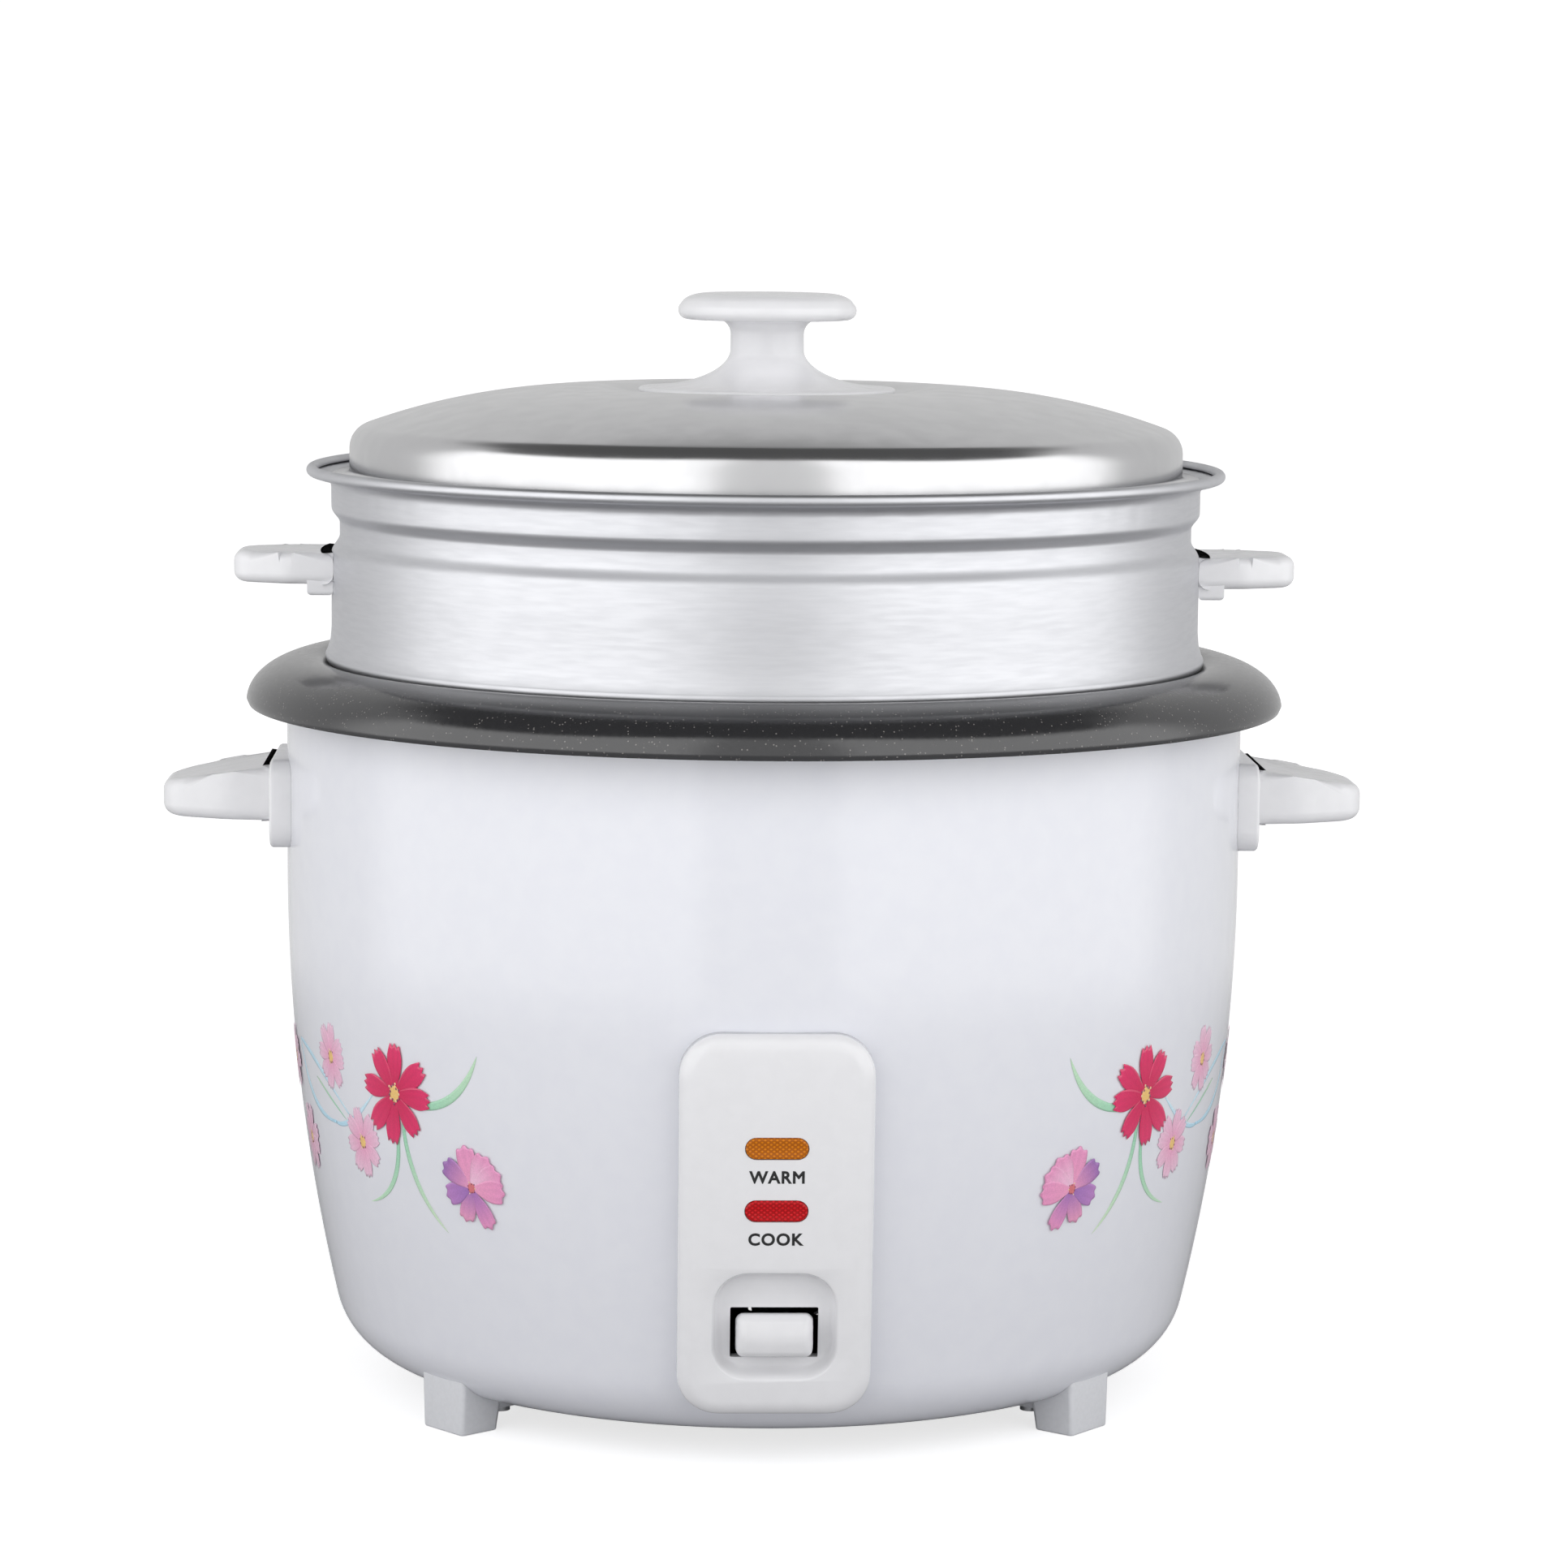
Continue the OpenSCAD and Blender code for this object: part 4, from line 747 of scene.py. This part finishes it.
# ------------------------------------------------------------------ printed words
# The two function words under the lamps: a thin film of black ink, pad-printed
# on the panel's face.
print_black = finish_of("print_black", (0.012, 0.012, 0.013), (0.02, 0.02, 0.021), 0.0006,
                        (0.30, 0.42), 0.000002)
word_w, word_h, ink_lift = 0.0143, 0.0034, 0.00004
for word, middle_z in (("WARM", panel_z + 0.0649), ("COOK", panel_z + 0.0482)):
    curve = bpy.data.curves.new(word, "FONT")
    curve.body = word
    curve.align_x, curve.align_y = "CENTER", "CENTER"
    curve.size, curve.extrude, curve.space_character = 1.0, 0.01, 1.12
    curve.bevel_depth, curve.bevel_resolution, curve.resolution_u = 0.032, 0, 5
    letters = bpy.data.objects.new(word, curve)
    bpy.context.scene.collection.objects.link(letters)
    bpy.context.view_layer.update()
    mesh = bpy.data.meshes.new_from_object(letters.evaluated_get(bpy.context.evaluated_depsgraph_get()))
    bpy.data.objects.remove(letters)
    bm = bmesh.new()
    bm.from_mesh(mesh)
    xs, ys = [v.co.x for v in bm.verts], [v.co.y for v in bm.verts]
    wide, tall = max(xs) - min(xs), max(ys) - min(ys)
    for v in bm.verts:
        across = (v.co.x - (max(xs) + min(xs)) / 2) / wide * word_w
        over = (v.co.y - (max(ys) + min(ys)) / 2) / tall * word_h
        v.co = panel_point(across, middle_z + over, -ink_lift if v.co.z > 0 else ink_lift / 2)
    bmesh.ops.remove_doubles(bm, verts=bm.verts, dist=1e-7)
    bmesh.ops.recalc_face_normals(bm, faces=bm.faces)
    piece(bm, "word_" + word.lower(), print_black, "housing", "white_plastic")

# ------------------------------------------------------------------ lamps
# Two tinted lenses with a diamond pattern pressed into their backs, clipped in
# behind the panel, a neon lamp behind each, in a folded plastic holder.
lens_w, lens_h, rib_turn, ribs_per_metre = 0.0162, 0.0056, 52, 330.0

def lens_finish(name, colour, groove_shade):
    """Tinted clear plastic with two crossing sets of fine ribs, its colour painted deeper in the grooves
    between them as painted shade.
    """
    finish, tree, shader = bare_finish(name)
    shader.inputs["Roughness"].default_value = 0.08
    shader.inputs["Specular IOR Level"].default_value = 0.3
    place = tree.nodes.new("ShaderNodeTexCoord").outputs["Object"]
    lines = []
    for turn in (-rib_turn, rib_turn):
        lay = tree.nodes.new("ShaderNodeMapping")
        lay.inputs["Rotation"].default_value = (0, math.radians(turn), 0)
        wire(tree, place, lay.inputs["Vector"])
        band = tree.nodes.new("ShaderNodeTexWave")
        band.inputs["Scale"].default_value = ribs_per_metre
        wire(tree, lay.outputs[0], band.inputs["Vector"])
        lines.append(band.outputs[1])
    knurl = sums(tree, "MULTIPLY", *lines)
    # Painted shade: the tint turns to the deeper colour wherever the rib pattern sinks, so the grooves read
    # as shadowed
    tone = blended(tree, ramp_up(tree, knurl, 0.1, 0.7), groove_shade, colour)
    wire(tree, tone, shader.inputs["Base Color"])
    emboss(tree, shader, knurl, 0.00006)
    return finish


amber = lens_finish("amber_lens", (0.72, 0.22, 0.004), (0.42, 0.11, 0.003))
red = lens_finish("red_lens", (0.72, 0.008, 0.014), (0.40, 0.003, 0.006))
for name, finish, z, slot in (("cook_lens", red, lamp_heights[0], "red_lens"),
                              ("warm_lens", amber, lamp_heights[1], "amber_lens")):
    bm = bmesh.new()
    rings = []
    for grow, depth in ((0.0011, 0.0031), (0.0011, 0.0023), (0.0, 0.0022), (0.0, 0.0001),
                        (-0.00012, -0.00025), (-0.0005, -0.0004), (-0.0009, -0.00036),
                        (-0.0013, -0.00022)):
        w, h = lens_w + 2 * grow, lens_h + 2 * grow
        outline = rounded(w, h, h / 2 - 0.00001, 10)
        rings.append(ring_of(bm, [panel_point(x, z + y, depth) for x, y in outline]))
    bridge(bm, rings)
    bmesh.ops.edgeloop_fill(bm, edges=rings[0])
    bmesh.ops.edgeloop_fill(bm, edges=rings[-1])
    bmesh.ops.recalc_face_normals(bm, faces=bm.faces)
    piece(bm, name + "_cap", finish, "housing", slot, name, sharp=50)
lamp_glass = finish_of("lamp_glass", (0.90, 0.55, 0.32), (0.80, 0.42, 0.22), 0.002,
                       (0.05, 0.12), 0.000004, Transmission_Weight=0.3)
holder = finish_of("holder_plastic", (0.78, 0.78, 0.74), (0.73, 0.73, 0.69), 0.002, (0.4, 0.55), 0.00001)
dress(lamp_glass, "warm_lamp", "cook_lamp")
dress(holder, "lamp_holder")

# ------------------------------------------------------------------ key and lever
# The key is a solid glossy moulding with a ridge across it, pressed onto the end
# of a zinc-plated lever that rocks on a pin in a bracket and pushes a switch.
key_low, key_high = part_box("lever_key")
lever_z, key_w, key_h, key_t = panel_z + 0.0215, key_high.x - key_low.x, 0.0112, 0.0035
key_front = key_low.y + 0.003
bm = bmesh.new()
bmesh.ops.create_cube(bm, size=1.0)
for v in bm.verts:
    v.co = Vector((v.co.x * key_w, (v.co.y + 0.5) * key_t + key_low.y + 0.0020, lever_z + v.co.z * key_h))
bmesh.ops.bisect_plane(bm, geom=bm.verts[:] + bm.edges[:] + bm.faces[:], dist=1e-7,
                       plane_co=(0, 0, lever_z + 0.0002), plane_no=(0, 0, 1))
for v in bm.verts:
    if abs(v.co.z - lever_z) < 0.001 and v.co.y < key_front:
        v.co.y = key_low.y - 0.0001
        v.co.x *= 0.93
edges = []
for e in bm.edges:
    a, b = (v.co for v in e.verts)
    x, y, z = (abs(d) for d in a - b)
    if min(a.y, b.y) < key_front and (z > 0.003 or x > 0.01 or y > 0.002):
        edges.append(e)
soften(bm, edges, 0.0021, 7, clamp=True)
for v in bmesh.ops.create_cube(bm, size=1.0)["verts"]:
    v.co = Vector((v.co.x * 0.014, key_low.y + 0.004 if v.co.y < 0 else key_high.y, lever_z + v.co.z * 0.006))
bmesh.ops.recalc_face_normals(bm, faces=bm.faces)
piece(bm, "key", gloss_white, "lever", "white_plastic", "lever_key", sharp=40)
black_plastic = finish_of("black_plastic", (0.025, 0.025, 0.027), (0.035, 0.035, 0.037), 0.0012,
                          (0.38, 0.55), 0.000012)
button_red = finish_of("button_red", (0.50, 0.05, 0.03), (0.42, 0.04, 0.025), 0.001, (0.35, 0.5), 0.00001)
dress(zinc, "lever_arm", "lever_bracket", "lever_pivot_pin")
dress(black_plastic, "microswitch", "keep_warm_thermostat")
dress(button_red, "switch_button")

# ------------------------------------------------------------------ heating plate and works
# A cast alloy plate with a machined top, its tubular element cast in below,
# on three posts; fuse, thermostat and terminals are fixed under the liner.
plate_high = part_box("heating_plate")[1]
plate_r, plate_top, plate_bottom = plate_high.x, plate_high.z, plate_high.z - 0.008
element_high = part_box("heating_element")[1]
tube_r, element_r, rib, turning_mark = 0.0038, 0.060, 0.0080, 0.00006
element_z, rib_z = element_high.z - tube_r, plate_bottom - 0.006
cast_alloy = finish_of("cast_alloy", (0.62, 0.63, 0.64), (0.52, 0.53, 0.54), 0.0024,
                       (0.28, 0.44), 0.00002, metallic=1.0)
groove = bend(element_r, element_z, tube_r + fit_gap, 171, 9, 14)
plate_outline = ([(0.020, plate_top), (0.020, plate_bottom), (element_r - rib, plate_bottom),
                  (element_r - rib, rib_z + 0.001), (element_r - rib + 0.001, rib_z)]
                 + groove
                 + [(element_r + rib - 0.001, rib_z), (element_r + rib, rib_z + 0.001),
                    (element_r + rib, plate_bottom), (plate_r - 0.001, plate_bottom),
                    (plate_r, plate_bottom + 0.001)]
                 + bend(plate_r - 0.002, plate_top - 0.002, 0.002, 0, 90, 6)
                 + [(r / 1000, plate_top - turning_mark * (r % 4 == 2)) for r in range(82, 20, -2)])
piece(turn_profile(plate_outline), "hot_plate", cast_alloy, "housing", "cast_alloy", "heating_plate")
sheath = finish_of("element_sheath", (0.22, 0.20, 0.19), (0.13, 0.12, 0.12), 0.006, (0.4, 0.6), 0.00002,
                   metallic=0.8)
ceramic = finish_of("ceramic", (0.82, 0.78, 0.70), (0.76, 0.72, 0.64), 0.0015, (0.55, 0.75), 0.00002)
tinned = finish_of("tinned", (0.66, 0.65, 0.62), (0.58, 0.57, 0.55), 0.002, (0.25, 0.4), 0.000008,
                   metallic=1.0)
dress(sheath, "heating_element")
dress(ceramic, "element_bushings", "terminal_block")
dress(zinc, "heater_posts", "thermostat_housing")
dress(tinned, "thermal_fuse", "fuse_clip")

# ------------------------------------------------------------------ sensor
# An aluminium cap pressed up by a spring in the middle of the plate, with a
# ferrite disc inside, and the magnet on its push rod below.
ferrite = finish_of("ferrite", (0.055, 0.055, 0.06), (0.035, 0.035, 0.038), 0.001, (0.45, 0.65), 0.00002)
magnet_grey = finish_of("magnet_grey", (0.12, 0.12, 0.13), (0.08, 0.08, 0.09), 0.001, (0.35, 0.55),
                        0.00001, metallic=0.6)
dress(cast_alloy, "sensor_cap")
dress(ferrite, "ferrite_disc")
dress(magnet_grey, "magnet")
dress(zinc, "thermostat_spring", "plunger_spring", "plunger_rod")

# ------------------------------------------------------------------ power inlet
# A black moulded socket at the back for the detachable lead, flange screwed to
# the drum, with three nickel-plated blades inside.
nickel = finish_of("nickel_blades", (0.70, 0.67, 0.60), (0.62, 0.59, 0.53), 0.002, (0.15, 0.28),
                   0.000006, metallic=1.0)
dress(black_plastic, "power_inlet")
dress(nickel, "inlet_pins")

# ------------------------------------------------------------------ pot
# The lift-out pot: spun aluminium with a wide rolled rim, covered inside and out
# by a charcoal non-stick coating full of fine pale specks.
pot_low, pot_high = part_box("inner_pot")
pot_wall, pot_taper, pot_corner = 0.0015, 0.0075, 0.025
crest_z, rim_bend, rim_reach, rim_drop = pot_high.z, 0.007, 0.0179, 0.0123
pot_in = liner_r - liner_wall - 0.003 - pot_wall
crest_x, pot_floor = pot_in + rim_bend, pot_low.z + pot_wall
c = pot_corner - pot_wall
pot_path = ([(0.0, pot_floor)] + bend(pot_in - pot_taper - c, pot_floor + c, c, -90, 0, 16)
            + bend(crest_x, crest_z - rim_bend, rim_bend, 180, 90, 14)
            + bend(crest_x, crest_z - rim_drop, rim_reach, 84, 4, 20, rim_drop))
pot_path.append((pot_path[-1][0] - 0.0006, pot_path[-1][1] - 0.0014))

charcoal, fleck_grey = (0.020, 0.020, 0.022), (0.22, 0.21, 0.20)
coating, tree, shader = bare_finish("speckled_coating")
place = tree.nodes.new("ShaderNodeTexCoord").outputs["Object"]
fleck = tree.nodes.new("ShaderNodeTexVoronoi")
fleck.inputs["Scale"].default_value = 1500.0
wire(tree, place, fleck.inputs["Vector"])
picked = tree.nodes.new("ShaderNodeSeparateColor")
wire(tree, fleck.outputs["Color"], picked.inputs[0])
chosen = sums(tree, "MULTIPLY", ramp_up(tree, picked.outputs[0], 0.86, 0.94),
              ramp_up(tree, fleck.outputs["Distance"], 0.15, 0.42, 1.0, 0.0))
cloud = tree.nodes.new("ShaderNodeTexNoise")
cloud.inputs["Scale"].default_value = 900.0
cloud.inputs["Detail"].default_value = 3.0
wire(tree, place, cloud.inputs["Vector"])
wire(tree, blended(tree, chosen, charcoal, fleck_grey), shader.inputs["Base Color"])
wire(tree, ramp_up(tree, cloud.outputs[0], 0.3, 0.7, 0.14, 0.20), shader.inputs["Roughness"])
shader.inputs["Specular IOR Level"].default_value = 1.0
emboss(tree, shader, cloud.outputs[0], 0.000012)
piece(turn_profile(thicken(pot_path, -pot_wall)), "pot", coating, "pot", "pot_coating", "inner_pot")

# ------------------------------------------------------------------ steamer
# A basket spun from bright aluminium sheet: a rolled rim, faint upright puckers
# below it where the sheet was drawn in, a rolled groove, and a perforated floor.
basket_low, basket_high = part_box("steamer_basket")
steamer_wall, rim_bead, seat_bead = 0.0009, 0.0015, 0.0021
wall_r, seat_x, spigot_r = pot_in + 0.0013, pot_in + 0.0009, pot_in - 0.0015
bead_z, spigot_z = basket_high.z - rim_bead, basket_low.z
seat_z = spigot_z + 0.006 + seat_bead
bead_x, groove_r = wall_r + 0.0054, wall_r - 0.0023
z1, z2, z3, z4 = (bead_z - d for d in (0.0103, 0.0145, 0.0180, 0.0230))
floor_r = spigot_r - 0.003


def ease(a, b, steps=8):
    """An S-bend in a profile from a to b."""
    made = []
    for i in range(1, steps):
        t = i / steps
        made.append((a[0] + (b[0] - a[0]) * t * t * (3 - 2 * t), a[1] + (b[1] - a[1]) * t))
    return made


basket_path = (bend(floor_r, spigot_z + 0.003, 0.003, -90, 0, 8)
               + bend(spigot_r + 0.001, seat_z - seat_bead - 0.001, 0.001, 180, 90, 5)
               + bend(seat_x, seat_z, seat_bead, -80, 40, 12)
               + [(wall_r + 0.0003, seat_z + 0.0045), (wall_r, seat_z + 0.008), (wall_r, seat_z + 0.018)]
               + [(wall_r, z4)] + ease((wall_r, z4), (groove_r, z3)) + [(groove_r, z3), (groove_r, z2)]
               + ease((groove_r, z2), (wall_r, z1))
               + [(wall_r, z1), (wall_r, bead_z - 0.0085), (wall_r, bead_z - 0.0068)]
               + bend(wall_r + 0.0034, bead_z - 0.005, 0.0034, 180, 120, 7)
               + bend(bead_x, bead_z, rim_bead, -80, 190, 20))
bm = turn_profile(basket_path, 384, closed=False)
face_out(bm)
# Puckers where the sheet was drawn in under the rim
pucker_z, pucker_h, pucker_depth = bead_z - 0.0100, 0.0070, 0.00013
for v in bm.verts:
    r = Vector(v.co[:2])
    if pucker_z < v.co.z < pucker_z + pucker_h and r.length < wall_r + 0.003:
        a = math.atan2(v.co.y, v.co.x)
        crimp = noise.noise(Vector((math.cos(a), math.sin(a), 0)) * 34) + 0.6 * noise.noise(
            Vector((math.cos(a), math.sin(a), 3)) * 88)
        fade = math.sin(math.pi * (v.co.z - pucker_z) / pucker_h)
        v.co.x, v.co.y = r * (1 + pucker_depth * crimp * fade / r.length)
edge = [e for e in bm.edges if len(e.link_faces) == 1
        and max(Vector(v.co[:2]).length for v in e.verts) < floor_r + 1e-5]
holes = []
hole_r, ring_gap = 0.003, (spigot_r - 0.012) / 4.5
spots = [(0.0, 0.0)] + [(k * ring_gap * math.cos(math.radians(60 * i / k)),
                         k * ring_gap * math.sin(math.radians(60 * i / k)))
                        for k in range(1, 5) for i in range(6 * k)]
for x, y in spots:
    holes += ring_of(bm, [(x + hole_r * math.cos(math.pi * i / 12), y + hole_r * math.sin(math.pi * i / 12),
                           spigot_z) for i in range(24)])
floor_faces = bmesh.ops.triangle_fill(bm, use_beauty=True, normal=(0, 0, -1), edges=edge + holes)["geom"]
turned = [f for f in floor_faces if isinstance(f, bmesh.types.BMFace) and f.normal.z > 0]
bmesh.ops.reverse_faces(bm, faces=turned)
spun_alloy = finish_of("spun_alloy", (0.64, 0.645, 0.67), (0.61, 0.615, 0.64), 0.010,
                       (0.40, 0.46), 0.000002, metallic=1.0, stretch=(1, 1, 9))
give_wall(piece(bm, "basket", spun_alloy, "steamer", "steamer_alloy", "steamer_basket"), steamer_wall)


def ear_shape(side):
    """A steamer handle: a rounded tongue with a deeper collar against the wall."""
    tip, tip_half, ear_w, ear_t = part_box("steamer_handle_right")[1].x, 0.0105, 0.036, 0.0088
    z, seat, knuckle = crest_z + 0.0205 + ear_t / 2, wall_r + fit_gap, wall_r + 0.012
    bm = bmesh.new()

    def on_wall(y):
        return Vector((math.sqrt(seat ** 2 - y * y), y))

    half = ear_w / 2
    tongue = round_corners([on_wall(-half), (knuckle, -half + 0.0008), (tip, -tip_half),
                            (tip, tip_half), (knuckle, half - 0.0008), on_wall(half)],
                           [0.0001, 0.012, 0.0085, 0.0085, 0.012, 0.0001], 10)
    tongue += [on_wall(half * (1 - i / 6)) for i in range(1, 12)]
    slab(bm, tongue, lambda x: z - ear_t / 2, lambda x: z + ear_t / 2, 0.0030, 0.0030, 8)
    half -= 0.001
    collar = [on_wall(half * (1 - i / 6)) for i in range(0, 13)]
    collar += [Vector((wall_r + 0.006, -half)), Vector((wall_r + 0.006, half))]
    slab(bm, collar, lambda x: z - ear_t / 2 - 0.003, lambda x: z + ear_t / 2 - 0.0002, 0.0012, 0.0012, 5)
    return to_side(bm, side)


for name, side in (("steamer_handle_left", -1), ("steamer_handle_right", 1)):
    piece(ear_shape(side), name + "_grip", gloss_white, "steamer", "white_plastic", name)

# ------------------------------------------------------------------ lid
# A softly polished stainless dome with a dished middle, a tight outer corner
# and a flat flange that sits inside the steamer's rim; one small steam vent.
lid_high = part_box("lid_shell")[1]
lid_wall, dome_r, crest_r, lid_corner = 0.0008, 0.180, 0.050, 0.007
lid_r, flange_z, lid_crest_z = wall_r - 0.005, bead_z - 0.0011, lid_high.z
dish_depth, vent_r = 0.004, 0.002
dish_z, dish_flat_r = lid_crest_z - dish_depth, crest_r - 0.022
c_r = lid_r - lid_corner
spread = math.acos((c_r - crest_r) / (dome_r - lid_corner))
c_z = lid_crest_z - dome_r + (dome_r - lid_corner) * math.sin(spread)
lid_path = ([(0.0, dish_z), (dish_flat_r * 0.5, dish_z), (dish_flat_r, dish_z)]
            + [(dish_flat_r + (crest_r - dish_flat_r) * i / 14,
                dish_z + dish_depth * (1 - math.cos(math.pi * i / 14)) / 2) for i in range(1, 15)]
            + bend(crest_r, lid_crest_z - dome_r, dome_r, 89.3, math.degrees(spread) + 0.4, 24)
            + bend(c_r, c_z, lid_corner, math.degrees(spread), 0, 14)
            + bend(lid_r + 0.0015, flange_z + 0.0015, 0.0015, 180, 270, 6)
            + [(wall_r - 0.0002, flange_z)])
mirror_steel = finish_of("mirror_steel", (0.66, 0.66, 0.67), (0.64, 0.64, 0.65), 0.008,
                         (0.19, 0.23), 0.0000012, metallic=1.0)
lid = piece(turn_profile(thicken(lid_path, -lid_wall)), "lid", mirror_steel, "lid", "lid_steel",
            "lid_shell")
drill = bmesh.new()
bmesh.ops.create_cone(drill, cap_ends=True, segments=32, radius1=vent_r, radius2=vent_r, depth=0.02)
bmesh.ops.translate(drill, verts=drill.verts, vec=(0, crest_r + 0.006, lid_crest_z))
drill_mesh = bpy.data.meshes.new("drill")
drill.to_mesh(drill_mesh)
drill.free()
drill_bit = bpy.data.objects.new("drill", drill_mesh)
bpy.context.scene.collection.objects.link(drill_bit)
vent = lid.modifiers.new("vent", "BOOLEAN")
vent.object, vent.operation, vent.solver = drill_bit, "DIFFERENCE", "EXACT"
bpy.context.view_layer.objects.active = lid
bpy.ops.object.modifier_apply(modifier="vent")
bpy.data.objects.remove(drill_bit)

# ------------------------------------------------------------------ lid knob
# One glossy white moulding: a flat grip disc on a waisted neck that flares to a
# wide foot, held down on a boss by a screw and washer under the lid.
knob_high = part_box("lid_knob")[1]
top, knob_r, knob_foot_r, knob_neck_r = knob_high.z, 0.0248, 0.0358, 0.0102
foot, boss_r, bore_r, sweep = dish_z + 0.0022, 0.012, 0.002 + fit_gap, knob_foot_r - 0.0012 - knob_neck_r
knob_outline = ([(bore_r, dish_z + fit_gap), (boss_r, dish_z + fit_gap), (boss_r, foot)]
                + [(knob_foot_r - 0.0008, foot)]
                + bend(knob_foot_r - 0.0009, foot + 0.0009, 0.0009, -80, 70, 8)
                + bend(knob_foot_r - 0.0012, top - 0.0155, sweep, 264, 184, 22, 0.0104)
                + [(knob_neck_r, top - 0.013)]
                + bend(knob_neck_r + 0.004, top - 0.0113, 0.004, 180, 90, 10)
                + bend(knob_r - 0.0026, top - 0.0047, 0.0026, -90, 30, 12)
                + bend(knob_r - 0.008, top - 0.0034, 0.0072, 20, 90, 10, 0.0034)
                + [(knob_r * 0.4, top), (0.0, top), (0.0, dish_z + 0.014), (bore_r, dish_z + 0.014)])
piece(turn_profile(knob_outline), "knob", gloss_white, "lid", "white_plastic", "lid_knob")
